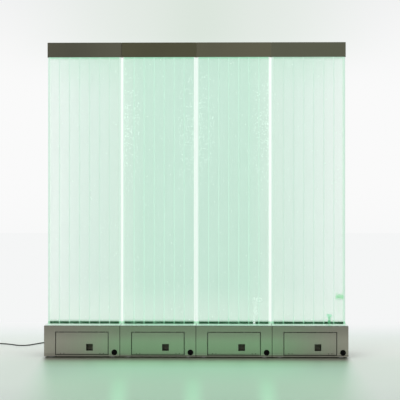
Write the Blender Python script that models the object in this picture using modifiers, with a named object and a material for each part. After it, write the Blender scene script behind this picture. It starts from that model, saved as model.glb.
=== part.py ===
# Bubble wall panel: four lit water modules that stand side by side on the floor.
# Metres, +Z up, front towards -Y. The origin is on the floor under the middle of the wall.

import math

import bmesh
import bpy
from mathutils import Matrix, Vector

# Whole wall
MODULE_COUNT = 4
MODULE_PITCH = 0.500
WALL_HEIGHT = 2.0885
SEAT_GAP = 0.0003
CUT_OVERRUN = 0.004
MERGE_DISTANCE = 0.00001
SHARP_DEGREES = 35

# Base casing, a folded box that is open below
BASE_DEPTH = 0.360
CASING_HEIGHT = 0.202
CASING_SHEET = 0.002
CASING_EDGE_RADIUS = 0.003
EDGE_STEPS = 2
SLOT_COLLAR_DEPTH = 0.014
VENT_COUNT = 7
VENT_WIDTH = 0.006
VENT_HEIGHT = 0.050
VENT_PITCH = 0.018
VENT_MIDDLE = 0.118

# Hatch opening in the casing's front, and its in-turned flange
HATCH_SIDE_MARGIN = 0.0745
HATCH_SILL = 0.009
HATCH_HEAD = 0.040
FLANGE_DEPTH = 0.014
CATCH_WIDTH = 0.030
CATCH_DEPTH = 0.012
CATCH_DROP = 0.009
CATCH_GAP = 0.0006
CATCH_END_INSET = 0.040

# Base frame: floor pan, feet and the bridge that carries the tank
FOOT_HEIGHT = 0.008
FOOT_RADIUS = 0.021
FOOT_SIDE_INSET = 0.050
FOOT_FRONT_INSET = 0.045
FOOT_SIDES = 12
PAN_SHEET = 0.002
PAN_EDGE_HEIGHT = 0.006
BRIDGE_HEIGHT = 0.110
BRIDGE_PLATE = 0.003
BRIDGE_LIP = 0.002
BRIDGE_LIP_HEIGHT = 0.012
LEG_PLATE = 0.003
LEG_WINDOW_WIDTH = 0.044
LEG_WINDOW_MARGIN = 0.022

# Hatch, a shallow tray with its edges turned in
HATCH_GAP = 0.004
HATCH_SHEET = 0.0015
HATCH_RETURN = 0.012
HATCH_EDGE_RADIUS = 0.0012

# Hatch hinges: two at the bottom edge, their fixed knuckles on one rail
HINGE_AXIS_SET_BACK = 0.006
HINGE_AXIS_RISE = 0.006
HINGE_END_INSET = 0.0455
KNUCKLE_RADIUS = 0.004
PIN_RADIUS = 0.002
PIN_SLIP = 0.0003
KNUCKLE_SIDES = 10
MOVING_KNUCKLE = 0.020
FIXED_KNUCKLE = 0.012
KNUCKLE_END_GAP = 0.0005
HINGE_NOTCH_SLIP = 0.005
LEAF_WIDTH = 0.050
LEAF_HEIGHT = 0.018
LEAF_PLATE = 0.002
LEAF_RISE = 0.0015
ARM_PLATE = 0.003
ARM_INSET = 0.0005
RAIL_PLATE = 0.002
RAIL_FOOT = 0.016
RAIL_END_INSET = 0.006

# Hatch pull, a square finger cup
PULL_OPENING = 0.041
PULL_WALL = 0.0012
PULL_DEPTH = 0.045
PULL_DRAFT = 0.002
PULL_FLANGE = 0.006
PULL_SIDE_OFFSET = 0.050
PULL_MIDDLE_HEIGHT = 0.068

# Tank: front and back sheets, end walls, dividers and floor, cemented into one
TANK_GAP = 0.014
TANK_DEPTH = 0.080
TANK_SHEET = 0.010
TANK_END_WALL = 0.010
TANK_FLOOR = 0.010
TANK_FLOOR_DROP = 0.004
CHANNEL_COUNT = 7
DIVIDER_SHEET = 0.004
HEADER_HEIGHT = 0.030
TANK_SLIP = 0.0005

# Air bar on the tank's floor
AIR_BAR_DEPTH = 0.030
AIR_BAR_HEIGHT = 0.015
AIR_BAR_WALL = 0.002
NOTCH_SLIP = 0.0004
NOZZLE_RADIUS = 0.002
NOZZLE_SIDES = 6
NOZZLES_PER_CHANNEL = 1
SPIGOT_RADIUS = 0.006
SPIGOT_BORE = 0.0035
SPIGOT_DROP = 0.008
ROUND_SIDES = 8

# Light bar under the tank's floor
LIGHT_BAR_HEIGHT = 0.018
LIGHT_BAR_SIDE_GAP = 0.003
LIGHT_BAR_END_GAP = 0.016
LIGHT_BAR_LEG = 0.014
LIGHT_BAR_LEG_INSET = 0.020
FIN_COUNT = 4
FIN_SLOT_WIDTH = 0.005
FIN_SLOT_DEPTH = 0.007

# Hoses between the base and the tank
HOSE_END_INSET = 0.040
AIR_HOSE_RADIUS = 0.005
DRAIN_HOSE_RADIUS = 0.0075
DRAIN_OFFSET = 0.022
HOSE_WINDOW_SLIP = 0.008
HOSE_BEVEL_STEPS = 2

# Air pump
PUMP_LENGTH = 0.130
PUMP_WIDTH = 0.090
PUMP_HEIGHT = 0.060
PUMP_EDGE_RADIUS = 0.007
PUMP_REAR_INSET = 0.058
PUMP_HOSE_RUN = 0.046
PUMP_FOOT_HEIGHT = 0.005
PUMP_FOOT_RADIUS = 0.008
PUMP_FOOT_INSET = 0.018
PUMP_RIB_COUNT = 3
PUMP_RIB_WIDTH = 0.004
PUMP_RIB_HEIGHT = 0.004
PUMP_RIB_PITCH = 0.020
PUMP_NOZZLE_LENGTH = 0.014
PUMP_NOZZLE_RADIUS = 0.0055
PUMP_NOZZLE_HEIGHT = 0.036

# Power unit
POWER_LENGTH = 0.110
POWER_WIDTH = 0.066
POWER_HEIGHT = 0.034
POWER_END_INSET = 0.062
POWER_FRONT_OFFSET = 0.040
POWER_EAR = 0.012
POWER_EAR_PLATE = 0.003
POWER_GROOVE_COUNT = 5
POWER_GROOVE_WIDTH = 0.004
POWER_GROOVE_DEPTH = 0.004
POWER_GROOVE_PITCH = 0.010

# Drain socket and plug in the casing's front
DRAIN_SIDE_INSET = 0.036
DRAIN_MIDDLE_HEIGHT = 0.035
DRAIN_HOLE_RADIUS = 0.0135
DRAIN_SOCKET_WALL = 0.0045
DRAIN_SOCKET_LENGTH = 0.022
DRAIN_SOCKET_END = 0.004
DRAIN_SOCKET_SIDES = 12
PLUG_HEAD_RADIUS = 0.019
PLUG_HEAD = 0.0035
PLUG_HEAD_EDGE = 0.001
PLUG_RING_RADIUS = 0.0075
PLUG_RING_WIDTH = 0.0015
PLUG_RING_DEPTH = 0.0008
PLUG_STEM = 0.017
PLUG_STEM_SLIP = 0.0007
PLUG_STEM_TAPER = 0.0012
PLUG_STEPS = 18

# Cap
CAP_HEIGHT = 0.0985
CAP_SHEET = 0.0015
CAP_SIDE_SLIP = 0.003
CAP_END_SLIP = 0.0015
CAP_EDGE_RADIUS = 0.0025

# Cord, its gland, coil and mains plug
CORD_RADIUS = 0.0035
GLAND_SIDE_OFFSET = 0.150
GLAND_HEIGHT = 0.060
GLAND_BODY_RADIUS = 0.008
GLAND_BODY_LENGTH = 0.012
GLAND_FLANGE_RADIUS = 0.012
GLAND_FLANGE = 0.005
GLAND_RELIEF_LENGTH = 0.038
GLAND_RELIEF_RADIUS = 0.0072
GLAND_RELIEF_TIP_RADIUS = 0.0050
GLAND_RELIEF_RIB = 0.0006
GLAND_RELIEF_RIBS = 3
GLAND_RIB_SHARES = ((0.30, 0), (0.45, 1), (0.75, 1), (0.90, 0))
GLAND_STEPS = 12
CORD_POINT_SPACING = 0.020
CORD_BEVEL_STEPS = 2
LINE_STEPS = 16
COIL_TURNS = 5.25
COIL_CLIMB_START = 2.5
COIL_CLIMB_TURNS = 0.5
COIL_MEAN_RADIUS = 0.040
COIL_TURN_PITCH = 0.0076
COIL_LAYER_PITCH = 0.0078
COIL_POINTS_PER_TURN = 24
COIL_BEVEL_STEPS = 1
COIL_CENTRE = (-1.512, 0.530)
COIL_TAIL_LENGTH = 0.034
CORD_FLOOR_GAP = 0.0002
MAINS_BODY_RADIUS = 0.0185
MAINS_BODY_LENGTH = 0.034
MAINS_GRIP_RADIUS = 0.0125
MAINS_GRIP_LENGTH = 0.020
MAINS_NECK_RADIUS = 0.0055
MAINS_NECK_LENGTH = 0.012
MAINS_RELIEF_RADIUS = 0.0065
MAINS_EDGE = 0.0015
MAINS_PIN_RADIUS = 0.0024
MAINS_PIN_LENGTH = 0.019
MAINS_PIN_SPACING = 0.019
MAINS_STEPS = 16
MAINS_PIN_SIDES = 8

# The cord's own route on the floor behind the wall, x, y and z of its middle line
CORD_ROUTE = [
    (-0.9000, 0.2560, 0.0600),
    (-0.9010, 0.2900, 0.0510),
    (-0.9040, 0.3350, 0.0240),
    (-0.9080, 0.3800, 0.0068),
    (-0.9130, 0.4250, 0.0037),
    (-0.9200, 0.4900, 0.0037),
    (-0.9370, 0.5600, 0.0037),
    (-0.9720, 0.6230, 0.0037),
    (-1.0280, 0.6600, 0.0037),
    (-1.0820, 0.6540, 0.0037),
    (-1.1220, 0.6160, 0.0037),
    (-1.1530, 0.5660, 0.0037),
    (-1.1820, 0.5120, 0.0037),
    (-1.2110, 0.4680, 0.0037),
    (-1.2480, 0.4520, 0.0037),
    (-1.2870, 0.4690, 0.0037),
    (-1.3230, 0.5010, 0.0037),
    (-1.3720, 0.5390, 0.0037),
    (-1.4280, 0.5660, 0.0037),
    (-1.4700, 0.5780, 0.0037),
]

# Places that follow from the sizes above
MODULE_HALF = MODULE_PITCH / 2 - SEAT_GAP / 2
FRONT = -BASE_DEPTH / 2
BACK = BASE_DEPTH / 2
BASE_TOP = FOOT_HEIGHT + CASING_HEIGHT
OPENING_HALF = MODULE_PITCH / 2 - HATCH_SIDE_MARGIN
OPENING_LOW = FOOT_HEIGHT + HATCH_SILL
OPENING_HIGH = BASE_TOP - HATCH_HEAD
HATCH_HALF = OPENING_HALF - HATCH_GAP
HATCH_LOW = OPENING_LOW + HATCH_GAP
HATCH_HIGH = OPENING_HIGH - HATCH_GAP
HINGE_Y = FRONT + HINGE_AXIS_SET_BACK
HINGE_Z = HATCH_LOW + HINGE_AXIS_RISE
HINGE_OFFSETS = (HINGE_END_INSET - OPENING_HALF, OPENING_HALF - HINGE_END_INSET)
PAN_TOP = FOOT_HEIGHT + PAN_SHEET
TANK_HALF = (MODULE_PITCH - TANK_GAP) / 2
TANK_HALF_DEPTH = TANK_DEPTH / 2
TANK_BOTTOM = BRIDGE_HEIGHT + SEAT_GAP
TANK_TOP = WALL_HEIGHT - CAP_SHEET - SEAT_GAP
TANK_FLOOR_TOP = BASE_TOP - TANK_FLOOR_DROP
TANK_FLOOR_LOW = TANK_FLOOR_TOP - TANK_FLOOR
WATER_HALF = TANK_HALF - TANK_END_WALL
WATER_HALF_DEPTH = TANK_HALF_DEPTH - TANK_SHEET
CHANNEL_PITCH = (2 * WATER_HALF + DIVIDER_SHEET) / CHANNEL_COUNT
CHANNEL_WIDTH = CHANNEL_PITCH - DIVIDER_SHEET
AIR_BAR_LOW = TANK_FLOOR_TOP + SEAT_GAP
AIR_BAR_TOP = AIR_BAR_LOW + AIR_BAR_HEIGHT
HOSE_X = TANK_HALF - HOSE_END_INSET
SPIGOT_END = TANK_FLOOR_LOW - SPIGOT_DROP
LIGHT_BAR_TOP = TANK_FLOOR_LOW - SEAT_GAP
DRAIN_X = MODULE_PITCH / 2 - DRAIN_SIDE_INSET
SOCKET_FACE = FRONT + CASING_SHEET + SEAT_GAP
CAP_HALF_DEPTH = TANK_HALF_DEPTH + CAP_SIDE_SLIP + CAP_SHEET
CAP_BOTTOM = WALL_HEIGHT - CAP_HEIGHT
CAP_END = TANK_HALF + CAP_END_SLIP + CAP_SHEET
GLAND_TIP = BACK + SEAT_GAP + GLAND_FLANGE + GLAND_RELIEF_LENGTH
CORD_AXIS_HEIGHT = CORD_RADIUS + CORD_FLOOR_GAP

X_AXIS = Vector((1, 0, 0))
Y_AXIS = Vector((0, 1, 0))
Z_AXIS = Vector((0, 0, 1))


def clear_scene():
    for obj in list(bpy.data.objects):
        bpy.data.objects.remove(obj)


def new_collection(name):
    collection = bpy.data.collections.new(name)
    bpy.context.scene.collection.children.link(collection)
    return collection


clear_scene()
wall = new_collection("bubble_wall_panel")
cutters = new_collection("cutters")


def new_material(name, colour, roughness, metallic=0.0, alpha=1.0):
    material = bpy.data.materials.new(name)
    material.use_nodes = True
    shader = material.node_tree.nodes["Principled BSDF"]
    shader.inputs["Base Color"].default_value = (*colour, 1.0)
    shader.inputs["Roughness"].default_value = roughness
    shader.inputs["Metallic"].default_value = metallic
    shader.inputs["Alpha"].default_value = alpha
    return material


def mesh_object(name, bm):
    mesh = bpy.data.meshes.new(name)
    bm.normal_update()
    bm.to_mesh(mesh)
    bm.free()
    obj = bpy.data.objects.new(name, mesh)
    obj.hide_render = True
    obj.display_type = "WIRE"
    cutters.objects.link(obj)
    return obj


def box(name, low, high, open_towards=None, edge_radius=0.0, edge_steps=1):
    """A block between two corners. It can lack one face, and its other edges can be rounded."""
    low = Vector(low)
    high = Vector(high)
    bm = bmesh.new()
    bmesh.ops.create_cube(bm, size=1.0)
    bmesh.ops.scale(bm, vec=high - low, verts=bm.verts)
    bmesh.ops.translate(bm, vec=(low + high) / 2, verts=bm.verts)
    bm.normal_update()
    if open_towards is not None:
        lost = [face for face in bm.faces if face.normal.dot(open_towards) > 0.5]
        bmesh.ops.delete(bm, geom=lost, context="FACES_ONLY")
    if edge_radius > 0:
        inner_edges = [edge for edge in bm.edges if len(edge.link_faces) == 2]
        bmesh.ops.bevel(
            bm, geom=inner_edges, offset=edge_radius, segments=edge_steps,
            profile=0.5, affect="EDGES",
        )
    return mesh_object(name, bm)


def bar(name, start, end, radius, sides, end_radius=None):
    """A round bar or cone from one point to another."""
    start = Vector(start)
    end = Vector(end)
    run = end - start
    bm = bmesh.new()
    bmesh.ops.create_cone(
        bm, cap_ends=True, segments=sides, radius1=radius,
        radius2=radius if end_radius is None else end_radius, depth=run.length,
    )
    turn = Z_AXIS.rotation_difference(run).to_matrix().to_4x4()
    bmesh.ops.transform(bm, matrix=Matrix.Translation((start + end) / 2) @ turn, verts=bm.verts)
    return mesh_object(name, bm)


def bake(obj):
    """Turns the object's modifiers into plain mesh."""
    evaluated = obj.evaluated_get(bpy.context.evaluated_depsgraph_get())
    mesh = bpy.data.meshes.new_from_object(evaluated)
    obj.modifiers.clear()
    obj.data = mesh
    return obj


def shell(obj, thickness):
    """Gives an open surface its sheet, on the inner side."""
    solidify = obj.modifiers.new("sheet", "SOLIDIFY")
    solidify.thickness = thickness
    solidify.offset = -1.0
    solidify.use_even_offset = True
    return bake(obj)


def combine(obj, tools, operation):
    for tool in tools:
        boolean = obj.modifiers.new(tool.name, "BOOLEAN")
        boolean.operation = operation
        boolean.object = tool
        bake(obj)
        bpy.data.objects.remove(tool)
    return obj


def join(obj, *tools):
    return combine(obj, tools, "UNION")


def cut(obj, *tools):
    return combine(obj, tools, "DIFFERENCE")


def turned(name, profile, steps, start, direction):
    """A solid of revolution. The profile is (radius, distance along the axis), last end first."""
    mesh = bpy.data.meshes.new(name)
    points = [(radius, 0, along) for radius, along in profile]
    edges = [(i, i + 1) for i in range(len(points) - 1)]
    mesh.from_pydata(points, edges, [])
    obj = bpy.data.objects.new(name, mesh)
    cutters.objects.link(obj)
    screw = obj.modifiers.new("turn", "SCREW")
    screw.steps = steps
    screw.render_steps = steps
    screw.use_merge_vertices = True
    screw.merge_threshold = MERGE_DISTANCE
    bake(obj)
    turn = Z_AXIS.rotation_difference(Vector(direction)).to_matrix().to_4x4()
    obj.data.transform(Matrix.Translation(Vector(start)) @ turn)
    obj.hide_render = True
    obj.display_type = "WIRE"
    return obj


def tube(name, points, radius, bevel_steps):
    """A round tube with filled ends along a list of points, made a closed mesh."""
    curve = bpy.data.curves.new(name, "CURVE")
    curve.dimensions = "3D"
    curve.bevel_depth = radius
    curve.bevel_resolution = bevel_steps
    curve.use_fill_caps = True
    spline = curve.splines.new("POLY")
    spline.points.add(len(points) - 1)
    for point, place in zip(spline.points, points):
        point.co = (*place, 1.0)
    obj = bpy.data.objects.new(name + "_curve", curve)
    cutters.objects.link(obj)
    evaluated = obj.evaluated_get(bpy.context.evaluated_depsgraph_get())
    mesh = bpy.data.meshes.new_from_object(evaluated)
    bpy.data.objects.remove(obj)
    bm = bmesh.new()
    bm.from_mesh(mesh)
    bmesh.ops.remove_doubles(bm, verts=bm.verts, dist=MERGE_DISTANCE)
    bmesh.ops.recalc_face_normals(bm, faces=bm.faces)
    return mesh_object(name, bm)


def smooth_line(points, spacing):
    """Points at an even spacing along a smooth curve through the given points."""
    points = [Vector(p) for p in points]
    dense = []
    for i in range(len(points) - 1):
        start = points[i]
        end = points[i + 1]
        leaving = (end - points[max(i - 1, 0)]) / 2
        arriving = (points[min(i + 2, len(points) - 1)] - start) / 2
        for step in range(LINE_STEPS):
            t = step / LINE_STEPS
            ease = t * t * (3 - 2 * t)
            swing = t * (1 - t)
            dense.append(start.lerp(end, ease) + leaving * swing * (1 - t) - arriving * swing * t)
    dense.append(points[-1])
    lengths = [0.0]
    for a, b in zip(dense, dense[1:]):
        lengths.append(lengths[-1] + (b - a).length)
    count = max(2, round(lengths[-1] / spacing))
    even = []
    at = 0
    for k in range(count + 1):
        want = lengths[-1] * k / count
        while at < len(dense) - 2 and lengths[at + 1] < want:
            at += 1
        share = (want - lengths[at]) / max(lengths[at + 1] - lengths[at], MERGE_DISTANCE)
        even.append(dense[at].lerp(dense[at + 1], share))
    return even, lengths[-1]


def finish(obj, name, material, origin=(0, 0, 0), smooth=False):
    """Moves a built solid to its own origin and puts it in the wall's collection."""
    origin = Vector(origin)
    obj.data.transform(Matrix.Translation(-origin))
    obj.location = origin
    obj.name = name
    obj.data.materials.clear()
    obj.data.materials.append(material)
    if smooth:
        obj.data.shade_smooth()
        obj.data.set_sharp_from_angle(angle=math.radians(SHARP_DEGREES))
    cutters.objects.unlink(obj)
    wall.objects.link(obj)
    obj.hide_render = False
    obj.display_type = "TEXTURED"
    return obj


def module_middle(number):
    return (number - (MODULE_COUNT + 1) / 2) * MODULE_PITCH


def repeat(obj, name, material, origin=(0, 0, 0), smooth=False, numbers=None):
    """One copy of a built solid in each module, all on one mesh."""
    first = finish(obj, name, material, origin, smooth)
    copies = {}
    for number in numbers or range(1, MODULE_COUNT + 1):
        copy = bpy.data.objects.new(f"{name}_{number}", first.data)
        copy.location = Vector(origin) + module_middle(number) * X_AXIS
        wall.objects.link(copy)
        copies[number] = copy
    bpy.data.objects.remove(first)
    return copies


def hang_on_axis(pieces, name, origin):
    """Parents a module's moving pieces to an empty on their joint's axis."""
    for number in range(1, MODULE_COUNT + 1):
        place = Vector(origin) + module_middle(number) * X_AXIS
        axis = bpy.data.objects.new(f"{name}_{number}", None)
        axis.location = place
        wall.objects.link(axis)
        for copies in pieces:
            copy = copies[number]
            copy.parent = axis
            copy.location = copy.location - place


def base_casing(with_cord_hole):
    """Folded sheet: hatch opening with two catches in front, vented back, tank slot in the top."""
    casing = box(
        "casing", (-MODULE_HALF, FRONT, FOOT_HEIGHT), (MODULE_HALF, BACK, BASE_TOP),
        open_towards=-Z_AXIS, edge_radius=CASING_EDGE_RADIUS, edge_steps=EDGE_STEPS,
    )
    shell(casing, CASING_SHEET)
    skin = CASING_SHEET / 2
    flange_half = OPENING_HALF + CASING_SHEET
    flange = box(
        "flange",
        (-flange_half, FRONT + skin, OPENING_LOW - CASING_SHEET),
        (flange_half, FRONT + CASING_SHEET + FLANGE_DEPTH, OPENING_HIGH + CASING_SHEET),
    )
    slot_half = TANK_HALF + TANK_SLIP
    slot_half_depth = TANK_HALF_DEPTH + TANK_SLIP
    collar = box(
        "collar",
        (-slot_half - CASING_SHEET / 2, -slot_half_depth - CASING_SHEET, BASE_TOP - SLOT_COLLAR_DEPTH),
        (slot_half + CASING_SHEET / 2, slot_half_depth + CASING_SHEET, BASE_TOP - skin),
    )
    join(casing, flange, collar)
    opening = box(
        "opening",
        (-OPENING_HALF, FRONT - CUT_OVERRUN, OPENING_LOW),
        (OPENING_HALF, FRONT + CASING_SHEET + FLANGE_DEPTH + CUT_OVERRUN, OPENING_HIGH),
    )
    slot = box(
        "slot",
        (-slot_half, -slot_half_depth, BASE_TOP - SLOT_COLLAR_DEPTH - CUT_OVERRUN),
        (slot_half, slot_half_depth, BASE_TOP + CUT_OVERRUN),
    )
    drain = bar(
        "drain",
        (DRAIN_X, FRONT - CUT_OVERRUN, DRAIN_MIDDLE_HEIGHT),
        (DRAIN_X, FRONT + CASING_SHEET + CUT_OVERRUN, DRAIN_MIDDLE_HEIGHT),
        DRAIN_HOLE_RADIUS, PLUG_STEPS,
    )
    cut(casing, opening, slot, drain)
    for index in range(VENT_COUNT):
        middle = (index - (VENT_COUNT - 1) / 2) * VENT_PITCH
        cut(casing, box(
            "vent",
            (middle - VENT_WIDTH / 2, BACK - CASING_SHEET - CUT_OVERRUN, VENT_MIDDLE - VENT_HEIGHT / 2),
            (middle + VENT_WIDTH / 2, BACK + CUT_OVERRUN, VENT_MIDDLE + VENT_HEIGHT / 2),
        ))
    catch_face = FRONT + HATCH_RETURN + CATCH_GAP
    for middle in (CATCH_END_INSET - OPENING_HALF, OPENING_HALF - CATCH_END_INSET):
        join(casing, box(
            "catch",
            (middle - CATCH_WIDTH / 2, catch_face, OPENING_HIGH - CATCH_DROP),
            (middle + CATCH_WIDTH / 2, catch_face + CATCH_DEPTH, OPENING_HIGH + skin),
        ))
    if with_cord_hole:
        cut(casing, bar(
            "cord_hole",
            (-GLAND_SIDE_OFFSET, BACK - CASING_SHEET - CUT_OVERRUN, GLAND_HEIGHT),
            (-GLAND_SIDE_OFFSET, BACK + CUT_OVERRUN, GLAND_HEIGHT),
            GLAND_BODY_RADIUS + SEAT_GAP, GLAND_STEPS,
        ))
    return casing


def base_frame():
    """Floor pan on four feet, with the bridge that the tank stands on."""
    side = MODULE_HALF - CASING_SHEET - SEAT_GAP
    end = BACK - CASING_SHEET - SEAT_GAP
    pan = box(
        "pan", (-side, -end, FOOT_HEIGHT), (side, end, FOOT_HEIGHT + PAN_EDGE_HEIGHT),
        open_towards=Z_AXIS, edge_radius=CASING_EDGE_RADIUS,
    )
    shell(pan, PAN_SHEET)
    sink = PAN_SHEET / 2
    lip_outer = TANK_HALF_DEPTH + TANK_SLIP + BRIDGE_LIP
    for across in (-1, 1):
        leg = box(
            "leg",
            (across * TANK_HALF - LEG_PLATE / 2, -lip_outer, FOOT_HEIGHT + sink),
            (across * TANK_HALF + LEG_PLATE / 2, lip_outer, BRIDGE_HEIGHT - BRIDGE_PLATE / 2),
        )
        leg.data.transform(Matrix.Translation(-across * LEG_PLATE / 2 * X_AXIS))
        cut(leg, box(
            "window",
            (-MODULE_HALF, -LEG_WINDOW_WIDTH / 2, PAN_TOP + LEG_WINDOW_MARGIN),
            (MODULE_HALF, LEG_WINDOW_WIDTH / 2, BRIDGE_HEIGHT - LEG_WINDOW_MARGIN),
        ))
        join(pan, leg)
    bridge = box(
        "bridge",
        (-TANK_HALF, -lip_outer, BRIDGE_HEIGHT - BRIDGE_PLATE),
        (TANK_HALF, lip_outer, BRIDGE_HEIGHT + BRIDGE_LIP_HEIGHT),
    )
    cut(bridge, box(
        "bridge_channel",
        (-TANK_HALF - CUT_OVERRUN, BRIDGE_LIP - lip_outer, BRIDGE_HEIGHT),
        (TANK_HALF + CUT_OVERRUN, lip_outer - BRIDGE_LIP, BRIDGE_HEIGHT + BRIDGE_LIP_HEIGHT + CUT_OVERRUN),
    ))
    for x, y, radius in ((-HOSE_X, 0, AIR_HOSE_RADIUS), (HOSE_X, DRAIN_OFFSET, DRAIN_HOSE_RADIUS)):
        half = radius + HOSE_WINDOW_SLIP
        cut(bridge, box(
            "hose_window", (x - half, y - half, BRIDGE_HEIGHT - BRIDGE_PLATE - CUT_OVERRUN),
            (x + half, y + half, BRIDGE_HEIGHT + CUT_OVERRUN),
        ))
    join(pan, bridge)
    for across in (-1, 1):
        for along in (-1, 1):
            x = across * (MODULE_PITCH / 2 - FOOT_SIDE_INSET)
            y = along * (BACK - FOOT_FRONT_INSET)
            join(pan, bar("foot", (x, y, 0), (x, y, FOOT_HEIGHT + sink), FOOT_RADIUS, FOOT_SIDES))
    return pan


def hatch():
    """Drop-down front hatch: a tray with a hole for the pull and a knuckle at each hinge."""
    door = box(
        "door", (-HATCH_HALF, FRONT, HATCH_LOW), (HATCH_HALF, FRONT + HATCH_RETURN, HATCH_HIGH),
        open_towards=Y_AXIS, edge_radius=HATCH_EDGE_RADIUS,
    )
    shell(door, HATCH_SHEET)
    inner = FRONT + HATCH_SHEET
    notch_half = MOVING_KNUCKLE / 2 + FIXED_KNUCKLE + HINGE_NOTCH_SLIP
    hole_half = PULL_OPENING / 2 + PULL_WALL + SEAT_GAP
    cut(door, box(
        "pull_hole",
        (PULL_SIDE_OFFSET - hole_half, FRONT - CUT_OVERRUN, PULL_MIDDLE_HEIGHT - hole_half),
        (PULL_SIDE_OFFSET + hole_half, inner + CUT_OVERRUN, PULL_MIDDLE_HEIGHT + hole_half),
    ))
    for x in HINGE_OFFSETS:
        cut(door, box(
            "notch",
            (x - notch_half, inner, HATCH_LOW - CUT_OVERRUN),
            (x + notch_half, FRONT + HATCH_RETURN + CUT_OVERRUN, HATCH_LOW + HATCH_SHEET + CUT_OVERRUN / 2),
        ))
        leaf_low = HINGE_Z + KNUCKLE_RADIUS + LEAF_RISE
        leaf = box(
            "leaf",
            (x - LEAF_WIDTH / 2, inner - HATCH_SHEET / 2, leaf_low),
            (x + LEAF_WIDTH / 2, inner + LEAF_PLATE, leaf_low + LEAF_HEIGHT),
        )
        web = box(
            "web",
            (x - MOVING_KNUCKLE / 2, inner - HATCH_SHEET / 2, HINGE_Z - KNUCKLE_RADIUS / 2),
            (x + MOVING_KNUCKLE / 2, HINGE_Y, leaf_low + LEAF_HEIGHT / 2),
        )
        cut(web, box(
            "web_relief",
            (x - MOVING_KNUCKLE, inner + LEAF_PLATE, HINGE_Z + KNUCKLE_RADIUS / 2),
            (x + MOVING_KNUCKLE, HINGE_Y + CUT_OVERRUN, leaf_low + LEAF_HEIGHT),
        ))
        knuckle = bar(
            "knuckle",
            (x - MOVING_KNUCKLE / 2, HINGE_Y, HINGE_Z), (x + MOVING_KNUCKLE / 2, HINGE_Y, HINGE_Z),
            KNUCKLE_RADIUS, KNUCKLE_SIDES,
        )
        join(door, leaf, web, knuckle)
        cut(door, bar(
            "pin_bore",
            (x - MOVING_KNUCKLE / 2 - CUT_OVERRUN, HINGE_Y, HINGE_Z),
            (x + MOVING_KNUCKLE / 2 + CUT_OVERRUN, HINGE_Y, HINGE_Z),
            PIN_RADIUS + PIN_SLIP, KNUCKLE_SIDES,
        ))
    return door


def hinge_rail():
    """Angle rail on the floor pan with the fixed knuckles and their pins."""
    rail_face = FRONT + CASING_SHEET + FLANGE_DEPTH + SEAT_GAP
    rail_half = OPENING_HALF - RAIL_END_INSET
    rail_low = PAN_TOP + SEAT_GAP
    rail = box(
        "rail", (-rail_half, rail_face, rail_low),
        (rail_half, rail_face + RAIL_PLATE, HINGE_Z + ARM_PLATE / 2),
    )
    join(rail, box(
        "rail_foot", (-rail_half, rail_face, rail_low),
        (rail_half, rail_face + RAIL_FOOT, rail_low + RAIL_PLATE),
    ))
    reach = MOVING_KNUCKLE / 2 + KNUCKLE_END_GAP
    arm_face = HINGE_Y + (PIN_RADIUS + KNUCKLE_RADIUS) / 2
    for x in HINGE_OFFSETS:
        join(rail, bar(
            "pin", (x - reach - FIXED_KNUCKLE / 2, HINGE_Y, HINGE_Z),
            (x + reach + FIXED_KNUCKLE / 2, HINGE_Y, HINGE_Z), PIN_RADIUS, KNUCKLE_SIDES,
        ))
        for across in (-1, 1):
            near = x + across * reach
            far = x + across * (reach + FIXED_KNUCKLE)
            arm = box(
                "arm", (min(near, far) + ARM_INSET, arm_face, HINGE_Z - ARM_PLATE / 2),
                (max(near, far) - ARM_INSET, rail_face + RAIL_PLATE / 2, HINGE_Z + ARM_PLATE / 2 - ARM_INSET),
            )
            knuckle = bar(
                "fixed_knuckle", (near, HINGE_Y, HINGE_Z), (far, HINGE_Y, HINGE_Z),
                KNUCKLE_RADIUS, KNUCKLE_SIDES,
            )
            join(rail, arm, knuckle)
    return rail


def tapered_box(name, middle, half, depth, draft):
    """A square block from the hatch's face inwards that narrows by the draft."""
    block = box(
        name, (middle[0] - half, FRONT, middle[1] - half),
        (middle[0] + half, FRONT + depth, middle[1] + half),
    )
    for vertex in block.data.vertices:
        if vertex.co.y > FRONT + depth / 2:
            vertex.co.x += draft if vertex.co.x < middle[0] else -draft
            vertex.co.z += draft if vertex.co.z < middle[1] else -draft
    return block


def hatch_pull():
    """Square finger cup, held by a flange behind the hatch's face."""
    middle = (PULL_SIDE_OFFSET, PULL_MIDDLE_HEIGHT)
    half = PULL_OPENING / 2
    cup = tapered_box("cup", middle, half + PULL_WALL, PULL_DEPTH, PULL_DRAFT)
    flange_half = half + PULL_WALL + PULL_FLANGE
    flange_face = FRONT + HATCH_SHEET + SEAT_GAP
    join(cup, box(
        "cup_flange",
        (middle[0] - flange_half, flange_face, middle[1] - flange_half),
        (middle[0] + flange_half, flange_face + PULL_WALL, middle[1] + flange_half),
    ))
    hollow = tapered_box("cup_hollow", middle, half, PULL_DEPTH - PULL_WALL, PULL_DRAFT)
    for vertex in hollow.data.vertices:
        if vertex.co.y < FRONT + PULL_DEPTH / 2:
            vertex.co.y -= CUT_OVERRUN
    return cut(cup, hollow)


def channel_middle(index):
    return (index - (CHANNEL_COUNT - 1) / 2) * CHANNEL_PITCH


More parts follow.
